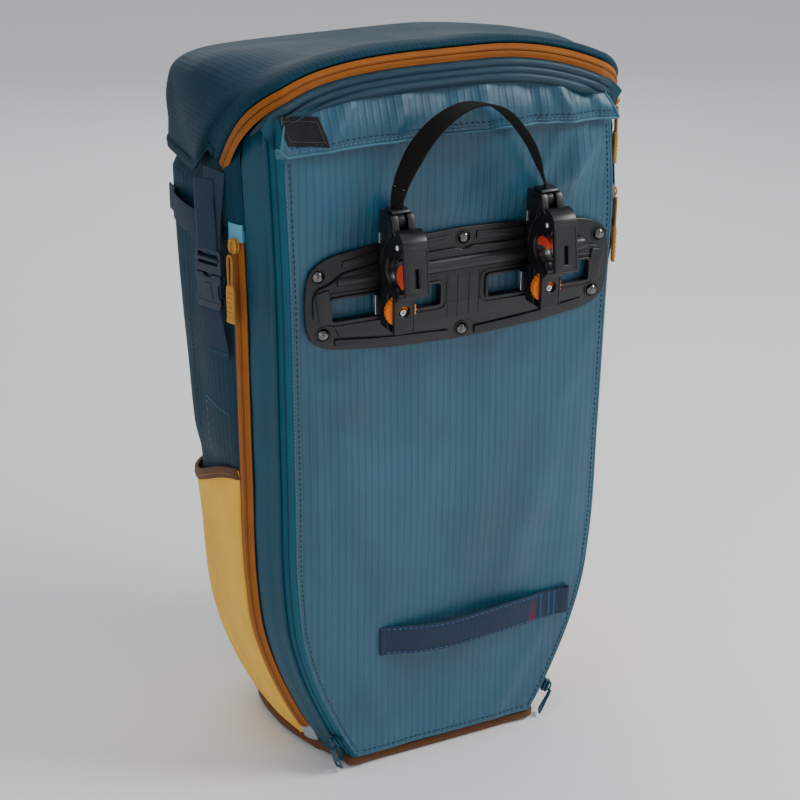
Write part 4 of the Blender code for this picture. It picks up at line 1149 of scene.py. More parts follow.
def on_wall(sign, y, z, lift=0.0004):
    """A point on the side wall at a depth behind the cover."""
    x = wall_x(z, y)
    sway = wall_sway(x, y, z) * smooth(0.018, 0.05, y)
    return at(sign * (x + sway * 0.6 + lift), y, z)


def side_seams():
    """Pale topstitching on the side panels."""
    for side, sign in SIGN.items():
        across = [on_wall(sign, y, 0.297 + 0.04 * (y - 0.05)) for y in np.linspace(0.058, 0.096, 14)]
        ride(stitches(f"side_seam_across_{side}", across, (sign, 0, 0), 0.0036, 0.0024), "root",
             "pale_thread")
        down = [on_wall(sign, 0.096, z) for z in np.linspace(0.297, 0.252, 14)]
        ride(stitches(f"side_seam_down_{side}", down, (sign, 0, 0), 0.0060, 0.0026), "root", "pale_thread")
        rear = [on_wall(sign, 0.118, z, 0.0006) for z in np.linspace(0.466, 0.268, 60)]
        ride(stitches(f"side_seam_rear_{side}", rear, (sign, 0.25, 0)), "root", "teal_thread")


def base_binding():
    """The orange-brown binding round the foot of the bag."""
    ring = [(x, y) for x, y in wall_outline(0.010, 40) if y > 0.060]
    right = [at(0.0, 0.0052, 0.0042)] + [at(x, 0.0052, 0.0042 + 0.0004 * (x > 0.05)) for x in (0.03, 0.055)]
    right += [border(1, 0.0062, run, 0.0004) for run in (0.004, 0.014, 0.026, 0.038, 0.050)]
    right += [at(x + 0.0006, y + 0.0006 * (y > 0.1), 0.0066) for x, y in ring[::3]]
    whole = [Vector((-p.x, p.y, p.z)) for p in right[:0:-1]] + right
    path = spline(whole, 200)
    centre = at(0, 0.07, 0.004)
    profile = [(-0.0036, -0.0010), (-0.0034, 0.0006), (-0.0012, 0.0014), (0.0012, 0.0014), (0.0034, 0.0006),
               (0.0036, -0.0010)]
    ride(sweep("base_binding", path, profile, lambda i: path[i] - centre, smooth_angle=60), "root",
         "binding")


POCKET_BULGE = 0.0035
POCKET_FOOT = 0.008


def pocket_outline(sign, z, t):
    """One level of a side pocket, from under the orange zip round the far corner."""
    half, far = side_half(z), far_depth(z)
    corner = 0.034
    points = [(wall_x(z, 0.0490) - 0.0030, 0.0495), (wall_x(z, 0.0515) + 0.0004, 0.0512)]
    bulge = POCKET_BULGE * smooth(0.02, 0.12, z) * (0.35 + 0.65 * t)
    for depth in np.linspace(0.0550, far - corner - 0.008, 6):
        swell = bulge * math.sin(math.pi * smooth(0.045, far, depth))
        points.append((wall_x(z, depth) + 0.0004 + swell, depth))
    points += arc((half - corner, far - corner), corner + 0.0012, 4, 82, 7)
    points += [(half - corner - 0.006, far + 0.0030), (half - corner - 0.010, far + 0.0012)]
    return spline([(sign * x, y, 0) for x, y in points], 46)


def pocket_height(t, y):
    """The pocket's mouth dips towards its near side and rises round the far corner."""
    top = POCKET_TOP - 0.038 * smooth(0.04, 0.15, y)
    return lerp(POCKET_FOOT, top, t)


def side_pockets():
    """The ochre pocket low on each side, with its bound mouth."""
    for side, sign in SIGN.items():
        rows = []
        for t in np.linspace(0, 1, 44):
            line = []
            level = lerp(POCKET_FOOT, POCKET_TOP, t)
            for p in pocket_outline(sign, level, t):
                z = pocket_height(t, p.y)
                taper = (side_half(z) - 0.03) / (side_half(level) - 0.03)
                sway = 0.0011 * noise_at(sign * 3, p.y * 20, z * 14)
                sway += 0.0004 * noise_at(sign * 3, p.y * 60, z * 40)
                line.append(at(p.x * lerp(1, taper, 0.6) + sign * sway * smooth(0.05, 0.07, p.y), p.y, z))
            rows.append(line)
        ob = sheet(f"pocket_cloth_{side}", facing(rows, (sign, 0, 0)), 0.0010,
                   weave=lambda r, c, p: (c * 0.0042, p[2], 0.0))
        ride(ob, "root", "ochre", replaces=[f"side_pocket_{side}"])
        mouth = resample(rows[-1][1:-1], 90)
        path = [p + Vector((0, 0, -0.0030)) for p in mouth]
        centre = at(0, 0.08, POCKET_TOP)

        def outward(i, path=path, centre=centre):
            return Vector((path[i].x, (path[i].y - centre.y) * 0.8, 0))
        profile = [(-0.0042, -0.0014), (-0.0040, 0.0008), (0.0, 0.0013), (0.0038, 0.0010), (0.0045, 0.0),
                   (0.0038, -0.0016)]
        ride(sweep(f"pocket_binding_{side}", path, profile, outward, smooth_angle=60), "root", "binding")
        thread = [p + Vector((sign * 0.0014, 0, -0.0006)) for p in path[4:60]]
        ride(stitches(f"pocket_stitch_{side}", thread, (sign, 0, 0), 0.0034, 0.0022, 0.0003), "root",
             "gold_thread")


# ---- straps, buckles and loops ------------------------------------------------------------------
def facing_place(point, out, up=(0, 0, 1)):
    """Places a flat piece at a point, its face towards `out`."""
    out, up = Vector(out).normalized(), Vector(up)
    up = (up - out * up.dot(out)).normalized()
    turn = Matrix((up.cross(out), up, out)).transposed().to_4x4()
    return Matrix.Translation(point) @ turn


def seam_rows(name, path, up, half, body, thread, lift):
    """Stitch rows along both edges of a strap."""
    spacing = 0.0042
    for sign, word in ((-1, "a"), (1, "b")):
        line = [p + side * half * sign + out * lift for p, side, out in frames_along(path, up)]
        ride(stitches(f"{name}_{word}", line, up, spacing, spacing * 0.62, 0.00028), body, thread)


def bartack(name, centre, across, out, length, body, thread):
    """A dense zigzag tack across a strap."""
    centre, across, out = Vector(centre), Vector(across).normalized(), Vector(out).normalized()
    run = across.cross(out)
    path = []
    for k in range(23):
        path.append(centre + across * length * (k / 22 - 0.5) + run * 0.0009 * (1 if k % 2 else -1))
    ride(tube(name, path, 0.0003, 6, out), body, thread)


BUCKLE_LIFT = 0.0040     # the buckle's inner face off the bag


def strap_point(sign, across, lift, z):
    """A point near the side strap: `across` its width towards the far side, `lift` off the bag."""
    foot = border(sign, 0.40, STRAP_RUN + across, lift)
    return Vector((foot.x, foot.y, z))


def side_straps():
    """The webbing on both sides of each buckle, the buckles, and the webbing bridges."""
    for side, sign in SIGN.items():
        out = border_out(sign)
        across = Vector((sign * LEAN[0], LEAN[1], 0))
        female_low, female_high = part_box(f"buckle_female_{side}")
        low, joint, head = female_low.z, female_high.z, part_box(f"buckle_male_{side}")[1].z
        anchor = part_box(f"strap_upper_{side}")[1].z

        def path_of(points, count):
            return spline([strap_point(sign, *p) for p in points], count)

        def stretch(ob):
            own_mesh(ob)

        path = path_of([(-0.0035, 0.0024, anchor + 0.0125), (-0.0020, 0.0030, anchor - 0.001),
                        (-0.0006, 0.0040, 0.4560), (0.0, 0.0054, 0.4400), (0.0, 0.0062, head - 0.004)], 30)
        upper = band(f"strap_upper_web_{side}", path, WEB / 2, 0.0015, out)
        ride(upper, "root", "slate_web", replaces=[f"strap_upper_{side}"])
        stretch(upper)
        tail_path = path_of([(0.0060, 0.0034, anchor + 0.004), (0.0045, 0.0054, 0.4600),
                             (0.0020, 0.0070, 0.4440), (0.0004, 0.0082, head - 0.002)], 22)
        tail = band(f"strap_tail_web_{side}", tail_path, WEB * 0.46, 0.0014, out)
        ride(tail, "root", "slate_web")
        stretch(tail)
        edge = [p + s * WEB * 0.45 + o * 0.0009 for p, s, o in frames_along(tail_path, out)]
        edge = tube(f"strap_tail_edge_{side}", edge, 0.00035, 6, (sign, 0, 0))
        ride(edge, "root", "edge_teal")
        stretch(edge)
        buckle(side, sign, low, joint, head)
        lower = path_of([(0.0, 0.0074, low + 0.004), (0.0, 0.0068, low - 0.006), (-0.0012, 0.0032, 0.3560),
                         (-0.0016, 0.0018, 0.3440)], 20)
        ride(band(f"strap_lower_web_{side}", lower, WEB / 2, 0.0014, out), "root", "slate_web",
             replaces=[f"strap_lower_{side}"])
        bartack(f"strap_tack_{side}", lower[-3] + out * 0.0018, across, out, WEB * 0.8, "root", "edge_teal")
        side_loop(side, sign)


def buckle(side, sign, low, joint, head):
    """A side-release buckle: socket below, tongue above."""
    out = border_out(sign)
    half, thick = 0.012, 0.0064
    base = strap_point(sign, 0.0, BUCKLE_LIFT, 0)

    def flat(name, outlines, start, depth, bevel=0.0006):
        return plate(name, outlines, depth, bevel, facing_place(base + out * start, out))

    shell = [(-half, low + 0.003), (-half + 0.003, low), (half - 0.003, low), (half, low + 0.003),
             (half, low + 0.0075), (half - 0.0024, low + 0.0100), (half - 0.0024, joint - 0.0075),
             (half, joint - 0.0055), (half, joint - 0.0006), (half - 0.0010, joint), (0.0045, joint),
             (0.0030, joint - 0.0022), (-0.0030, joint - 0.0022), (-0.0045, joint), (-half + 0.0010, joint),
             (-half, joint - 0.0006), (-half, joint - 0.0055), (-half + 0.0024, joint - 0.0075),
             (-half + 0.0024, low + 0.0100), (-half, low + 0.0075)]
    socket = join(f"buckle_socket_{side}", [
        flat("socket_front", [rounded(shell, 0.0012, 2)], thick * 0.60, thick * 0.40),
        flat("socket_rear", [rounded(shell, 0.0012, 2)], 0.0, thick * 0.34),
        flat("socket_foot", [rectangle(-half + 0.001, half - 0.001, low + 0.0002, low + 0.0042, 0.001)],
             0.0003, thick - 0.0006),
        flat("socket_boss", [rounded([(-0.0048, low + 0.0065), (0.0048, low + 0.0065),
                                      (0.0034, joint - 0.0060), (-0.0034, joint - 0.0060)], 0.0015)],
             thick - 0.0004, 0.0009, 0.0004),
        flat("socket_rib", [rectangle(-half + 0.0015, half - 0.0015, low + 0.0044, low + 0.0054, 0.0004)],
             thick - 0.0004, 0.0008, 0.0003)])
    ride(socket, "root", "slate_plastic", replaces=[f"buckle_female_{side}"])
    grip = [(-half, joint + 0.0004), (half, joint + 0.0004), (half, head - 0.002), (half - 0.002, head),
            (-half + 0.002, head), (-half, head - 0.002)]
    slots = [rectangle(-half + 0.0028, half - 0.0028, head - 0.0058, head - 0.0030, 0.0006),
             rectangle(-half + 0.0028, half - 0.0028, head - 0.0112, head - 0.0086, 0.0006)]
    prongs = [flat(f"prong_{k}", [rounded([(a * 0.0112, joint + 0.0010), (a * 0.0050, joint + 0.0010),
                                           (a * 0.0046, low + 0.0105), (a * 0.0086, low + 0.0070),
                                           (a * 0.0114, low + 0.0092), (a * 0.0104, low + 0.0125),
                                           (a * 0.0112, joint - 0.0060)][::int(a)], 0.0010, 2)],
                   0.0024, 0.0022, 0.0005) for k, a in enumerate((-1.0, 1.0))]
    tongue = join(f"buckle_tongue_{side}", prongs + [
        flat("tongue_head", [rounded(grip, 0.0010, 2)] + slots, 0.0010, 0.0046),
        flat("tongue_bar", [rectangle(-half + 0.002, half - 0.002, head - 0.0084, head - 0.0060, 0.0006)],
             0.0030, 0.0038, 0.0005),
        flat("tongue_key", [rectangle(-0.0026, 0.0026, joint - 0.0050, joint + 0.0020, 0.0008)], 0.0026,
             0.0018, 0.0004)])
    ride(tongue, f"buckle_{side}", "slate_plastic", replaces=[f"buckle_male_{side}"])


def side_loop(side, sign):
    """A webbing bridge across the side, its near end stitched down beside the strap."""
    low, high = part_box(f"side_loop_{side}")
    level = (low.z + high.z) / 2
    face = min(abs(low.x), abs(high.x))
    points = [(0.0000, 0.062), (0.0004, 0.072), (0.0016, 0.078), (0.0052, 0.088), (0.0066, 0.106),
              (0.0052, 0.126), (0.0012, 0.137), (0.0006, 0.143), (0.0002, 0.150)]
    path = spline([at(sign * (face + x), y, level) for x, y in points], 44)

    def out(i):
        run = step_along(path, i)
        return Vector((sign * run.y, -sign * run.x, 0))
    ride(band(f"side_loop_web_{side}", path, WEB / 2, 0.0015, out), "root", "slate_web",
         replaces=[f"side_loop_{side}"])
    for k, depth in enumerate((0.066, 0.072, 0.1435)):
        centre = at(sign * (face + 0.0022), depth, level)
        bartack(f"side_loop_tack_{side}_{k}", centre, (0, 0, 1), (sign, 0, 0), WEB * 0.8, "root",
                "pale_thread")


def lamp_loop():
    """The webbing loop for a rear lamp, folded over at its far end."""
    half, middle = (LOOP_HIGH.x - LOOP_LOW.x) / 2, (LOOP_HIGH.x + LOOP_LOW.x) / 2
    rises = [(-1.0, 0.0), (-0.93, 0.1), (-0.84, 2.0), (-0.60, 6.2), (-0.3, 7.6), (0.0, 7.8), (0.3, 6.9),
             (0.52, 4.6), (0.66, 1.6), (0.76, 0.3), (0.86, 0.2)]
    path = spline([at(middle + half * s, -0.0008 - rise / 1000, LOOP_Z + 0.0012 * math.sin(s * 5))
                   for s, rise in rises], 70)
    wide = (LOOP_HIGH.z - LOOP_LOW.z) / 2 - 0.0004
    out = TO_BACK
    ride(band("lamp_loop_web", path, wide, 0.0017, out), "cover_flap", "slate_web", replaces=["lamp_loop"])
    seam_rows("lamp_loop_seam", path[2:-2], out, wide - 0.0018, "cover_flap", "blue_thread", 0.0018)
    patch = [at(middle + half * s, -0.0026 - rise / 1000, LOOP_Z) for s, rise in
             ((0.60, 0.4), (0.70, 0.5), (0.80, 0.3), (0.89, 0.5), (0.93, 1.2), (0.985, 1.6), (1.0, 0.2),
              (0.97, -1.2), (0.90, -1.5))]
    patch = spline(patch, 40)

    def fold_out(i):
        run = step_along(patch, i)
        return Vector((run.y, -run.x, 0))
    ride(band("lamp_loop_fold", patch, wide - 0.0006, 0.0012, fold_out), "cover_flap", "slate_web")
    lines = [("blue_thread", -0.965, 0.0016), ("red_thread", 0.555, 0.0060), ("red_thread", 0.575, 0.0056),
             ("red_thread", 0.595, 0.0052), ("red_thread", 0.615, 0.0048),
             ("blue_thread", 0.69, 0.0044), ("blue_thread", 0.78, 0.0042), ("blue_thread", 0.84, 0.0042),
             ("red_thread", -0.90, 0.0026)]
    for k, (thread, s, lift) in enumerate(lines):
        x = middle + half * s
        bartack(f"lamp_loop_tack_{k}", at(x, -lift - 0.0002, LOOP_Z), (0, 0, 1), out, wide * 1.75,
                "cover_flap", thread)


# ---- sliders and pulls --------------------------------------------------------------------------
def slider_body(name, place, finish, body, replaces, size=1.0):
    """A zip slider: two plates with a waist between them and a bridge over the top."""
    def outline(grow):
        points = [(-0.0028, 0.0), (0.0028, 0.0), (0.0042, 0.0040), (0.0034, 0.0100), (-0.0034, 0.0100),
                  (-0.0042, 0.0040)]
        return rounded([(x * size * grow, z * size) for x, z in points], 0.0012 * size, 3)
    lower = plate("slider_lower", [outline(1.0)], 0.0014 * size, 0.0004 * size, place)
    upper = plate("slider_upper", [outline(0.94)], 0.0014 * size, 0.0004 * size,
                  place @ Matrix.Translation((0, 0, 0.0026 * size)))
    web = plate("slider_web", [outline(0.45)], 0.0030 * size, 0.0003 * size,
                place @ Matrix.Translation((0, 0, 0.0004 * size)))
    bridge = [place @ (Vector(p) * size) for p in
              ((0, 0.0012, 0.0036), (0, 0.0018, 0.0054), (0, 0.0050, 0.0062), (0, 0.0080, 0.0052),
               (0, 0.0086, 0.0036))]
    bridge = tube("slider_bridge", spline(bridge, 16), 0.0007 * size, 8,
                  place.to_3x3() @ Vector((1, 0.2, 0.1)))
    ride(join(name, [lower, upper, web, bridge]), body, finish, replaces=replaces)


def ring_pull(name, place, length, body, replaces):
    """A metal tab with an eye at each end, hanging from its pivot along -up."""
    half = 0.0038
    outline = [(-half * 0.55, 0.0014), (half * 0.55, 0.0014), (half * 0.8, -0.0040),
               (half * 0.62, -length * 0.30), (half, -length * 0.52), (half, -length + 0.0016),
               (-half, -length + 0.0016), (-half, -length * 0.52), (-half * 0.62, -length * 0.30),
               (-half * 0.8, -0.0040)]
    opening = rectangle(-0.0019, 0.0019, -length + 0.0036, -length * 0.58, 0.0012)
    holes = [disc_loop((0, -0.0016), 0.0011, 16), opening]
    ride(plate(name, [rounded(outline, 0.0014, 3)] + holes, 0.0016, 0.0005, place), body, "teal_metal",
         replaces=replaces)


def cord_pull(name, place, length, body, replaces):
    """A looped cord with a tapered moulded tab on it."""
    cord_end = -length * 0.46
    loop = [(0.0, 0.0006), (-0.0016, -0.0016), (-0.0019, -0.0080), (-0.0015, cord_end),
            (-0.0009, cord_end - 0.004), (0.0009, cord_end - 0.004), (0.0015, cord_end), (0.0019, -0.0080),
            (0.0016, -0.0016), (0.0, 0.0006)]
    path = spline([place @ Vector((x, y, 0.0012 + 0.0003 * math.sin(y * 300))) for x, y in loop], 60)
    ride(tube(f"{name}_cord", path, 0.0010, 8, place.to_3x3() @ Vector((0.05, 0.02, 1))), body, "gold_cord")
    top, bottom = cord_end + 0.0015, -length + 0.0004
    outline = [(-0.0028, top), (0.0028, top), (0.0036, top - 0.005), (0.0032, bottom + 0.006),
               (0.0040, bottom), (-0.0040, bottom), (-0.0032, bottom + 0.006), (-0.0036, top - 0.005)]
    tab_body = plate("tab_body", [rounded(outline, 0.0012, 3)], 0.0030, 0.0009,
                     place @ Matrix.Translation((0, 0, -0.0004)))
    ridges = [plate(f"tab_ridge_{k}", [rectangle(-0.0026, 0.0026, z, z + 0.0007, 0.0003)], 0.0008, 0.0003,
                    place @ Matrix.Translation((0, 0, 0.0024)))
              for k, z in enumerate(np.linspace(bottom + 0.0040, top - 0.0060, 6))]
    ride(join(f"{name}_tab", [tab_body] + ridges), body, "gold_tape", replaces=replaces)


def zip_hardware():
    """All five sliders with their pulls."""
    face = Vector((0.95, -0.31, 0)).normalized()
    run = Vector((-0.02, -LID_LEAN, 1))
    height = 0.500
    base = at(ARCH_HALF - 0.0008, LID_ZIP_DEPTH + lid_recede(height), height) + face * 0.0012
    slider_body("lid_slider_body", facing_place(base, face - run * face.dot(run) / run.dot(run), run),
                "gold_tape", "lid_slider", ["lid_slider"])
    cord_pull("lid_pull", facing_place(base + face * 0.0055 + Vector((0, 0, -0.0025)), face), 0.042,
              "lid_pull", ["lid_pull"])
    for side, sign in SIGN.items():
        out = border_out(sign)
        base = border(sign, 0.428, GUSSET_RUN, 0.0022)
        slider_body(f"gusset_slider_body_{side}", facing_place(base, out), "gold_tape",
                    f"gusset_slider_{side}", [f"gusset_slider_{side}"])
        cord_pull(f"gusset_pull_{side}", facing_place(base + out * 0.0053 + Vector((0, 0, -0.001)), out),
                  0.050, f"gusset_pull_{side}", [f"gusset_pull_{side}"])
        out = Vector((sign * LEAN[1], -LEAN[0], -LEAN[1] * FOOT_SLOPE)).normalized()
        base = border(sign, 0.026, ZIP_RUN) + out * 0.0030
        slider_body(f"cover_slider_body_{side}", facing_place(base, out, (sign * FOOT_SLOPE, 0, 1)),
                    "teal_metal", f"cover_slider_{side}", [f"cover_slider_{side}"], 1.05)
        ring_pull(f"cover_pull_tab_{side}", facing_place(base + out * 0.0075 + Vector((0, 0, 0.0015)), out),
                  0.0235, f"cover_pull_{side}", [f"cover_pull_{side}"])


# ---- the hook plate -----------------------------------------------------------------------------
RIVETS = {"left_top": (-0.111, 0.0215), "left_bottom": (-0.1075, -0.0215), "middle_top": (0.0, 0.0345),
          "middle_bottom": (0.0, -0.0345), "right_top": (0.111, 0.0215), "right_bottom": (0.1075, -0.0215)}
WINDOW_IN, WINDOW_OUT, WINDOW_HALF = 0.019, 0.102, 0.008
FLANGE_FRONT, LAND_FRONT = -0.0034, -0.0056


def mirrored_outline(right):
    """A closed outline from its right half, listed from the top middle round to the bottom middle."""
    return right + [(-x, z) for x, z in right[-2:0:-1]]


def on_plate(outline):
    return [(PLATE_X + x, PLATE_Z + z) for x, z in outline]


def around_rivets(outline, reach):
    """Bends an outline clear of the rivets."""
    out = []
    for p in resample([(x, z, 0) for x, z in outline + outline[:1]], 260)[:-1]:
        x, z = p.x, p.y
        for rx, rz in RIVETS.values():
            off = math.hypot(x - rx, z - rz)
            if off < reach:
                x, z = rx + (x - rx) * reach / off, rz + (z - rz) * reach / off
        out.append((x, z))
    return out


def hook_plate():
    """The moulded plate that carries the hooks, and its rivets."""
    half = 0.1205
    right = [(0.0, 0.042), (0.060, 0.0395), (0.102, 0.0345), (0.1165, 0.0270), (half, 0.012), (half, -0.015),
             (0.1160, -0.0275), (0.1035, -0.034), (0.060, -0.0395), (0.0, -0.042)]
    flange = on_plate(rounded(mirrored_outline(right), 0.010, 5))

    def window(sign, grow, radius):
        """A window's outline, grown by (across, up)."""
        near, far = sorted((PLATE_X + sign * WINDOW_IN, PLATE_X + sign * WINDOW_OUT))
        rise = WINDOW_HALF + grow[1]
        return rectangle(near - grow[0], far + grow[0], SLOT_Z - rise, SLOT_Z + rise, radius)

    def bar(sign, right_half, radius):
        """A raised bar, drawn on the right half of the plate."""
        return [on_plate(rounded([(sign * x, z) for x, z in right_half][::sign], radius))]

    windows = {sign: window(sign, (0, 0), 0.0026) for sign in SIGN.values()}

    def layer(name, loops, start, top, bevel=0.0006):
        return plate(name, loops, start - top, bevel, back_facing(0, start, 0))

    land = [(0, 0.0282), (0.055, 0.0268), (0.092, 0.0218), (0.1030, 0.0150), (0.1110, 0.0128),
            (0.1152, 0.0065), (0.1152, -0.0085), (0.1105, -0.0130), (0.1000, -0.0160), (0.0955, -0.0248),
            (0.055, -0.0292), (0.012, -0.0318), (0, -0.0258)]
    land = on_plate(around_rivets(mirrored_outline(land), 0.0084))
    openings = list(windows.values())
    pieces = [layer("flange", [flange] + openings, -0.0003, FLANGE_FRONT, 0.0009),
              layer("land", [land] + openings, FLANGE_FRONT + 0.0006, LAND_FRONT, 0.0007)]
    end_bar = [(0.1040, 0.0122), (0.1140, 0.0100), (0.1112, -0.0122), (0.1015, -0.0140)]
    lower = [(0.0990, -0.0262), (0.0570, -0.0312), (0.0100, -0.0338), (0.0100, -0.0398), (0.0570, -0.0372),
             (0.0990, -0.0320)]
    upper = [(0.0100, 0.0318), (0.0500, 0.0300), (0.0930, 0.0252), (0.0930, 0.0300), (0.0500, 0.0358),
             (0.0100, 0.0376)]
    for side, sign in SIGN.items():
        outer, inner = window(sign, (0.0062, 0.0048), 0.0075), window(sign, (0.0050, 0.0036), 0.0065)
        lip = window(sign, (0.0020, 0.0018), 0.0040)
        line_back, band_back = LAND_FRONT + 0.0003, FLANGE_FRONT + 0.0004
        pieces.append(layer(f"window_line_{side}", [outer, inner], line_back, LAND_FRONT - 0.0007, 0.0004))
        pieces.append(layer(f"window_lip_{side}", [lip, windows[sign]], line_back, LAND_FRONT - 0.0016,
                            0.0005))
        pieces.append(layer(f"end_bar_{side}", bar(sign, end_bar, 0.0022), LAND_FRONT + 0.0004,
                            LAND_FRONT - 0.0014, 0.0006))
        pieces.append(layer(f"lower_band_{side}", bar(sign, lower, 0.0014), band_back, FLANGE_FRONT - 0.0016,
                            0.0005))
        pieces.append(layer(f"upper_band_{side}", bar(sign, upper, 0.0014), band_back, FLANGE_FRONT - 0.0012,
                            0.0005))
        line = [(0.014, 0.0352), (0.030, 0.0345), (0.0315, 0.0330), (0.052, 0.0312)]
        line = [at(PLATE_X + sign * x, FLANGE_FRONT - 0.0013, PLATE_Z + z) for x, z in line]
        pieces.append(tube(f"upper_line_{side}", resample(line, 24), 0.0004, 8, (0, -1, 0.2)))
        for k, x in enumerate((0.0125, 0.0045)):
            rib = [at(PLATE_X + sign * x, LAND_FRONT, PLATE_Z + z) for z in (-0.0235, 0.008)]
            pieces.append(tube(f"rib_{side}_{k}", resample(rib, 6), 0.00045, 8, (0, -1, 0.1)))
    profile = [(-0.0054, -0.0006), (-0.0050, 0.0008), (-0.0038, 0.0022), (-0.0018, 0.0030), (0.0, 0.0032),
               (0.0018, 0.0030), (0.0038, 0.0022), (0.0050, 0.0008), (0.0054, -0.0006)]
    bar_z = PLATE_Z + 0.0158
    path = [at(x, LAND_FRONT, bar_z + 0.0010 * math.cos(x * 12)) for x in np.linspace(-0.094, 0.1035, 60)]
    pieces.append(sweep("half_round", path, profile, TO_BACK,
                        scale=lambda i: 0.55 + 0.45 * smooth(0.0, 14, i) if i < 59 else 0.6))
    ride(join("hook_plate_moulding", pieces), "root", "black_plastic", replaces=["hook_plate"])
    dome = [(0.0, 0.0040), (0.0012, 0.0039), (0.0024, 0.0034), (0.0034, 0.0026), (0.0042, 0.0015),
            (0.0046, 0.0004), (0.0046, 0.0), (0.0, 0.0)]
    ring = [(0.0048, 0.0), (0.0056, 0.0), (0.0060, 0.0006), (0.0058, 0.0010), (0.0050, 0.0010),
            (0.0048, 0.0004), (0.0048, 0.0)]
    for name, (x, z) in RIVETS.items():
        place = back_facing(PLATE_X + x, FLANGE_FRONT + 0.0004, PLATE_Z + z)
        ride(lathe(f"rivet_dome_{name}", dome, place), "root", "nickel", replaces=[f"rivet_{name}"])
        ride(lathe(f"rivet_ring_{name}", ring, place), "root", "black_plastic")


# ---- the hooks ----------------------------------------------------------------------------------
MOUTH = (0.0215, 0.0315)     # middle of the hook's mouth: (out from the plate, above the windows' middle)
MOUTH_R = 0.0105
PIN = (0.0270, 0.0505)       # the steel pin that the arm turns on
CHEEK_IN, CHEEK_OUT = 0.0034, 0.0085
WHEEL_LOW, WHEEL_HIGH = 0.0124, 0.0176


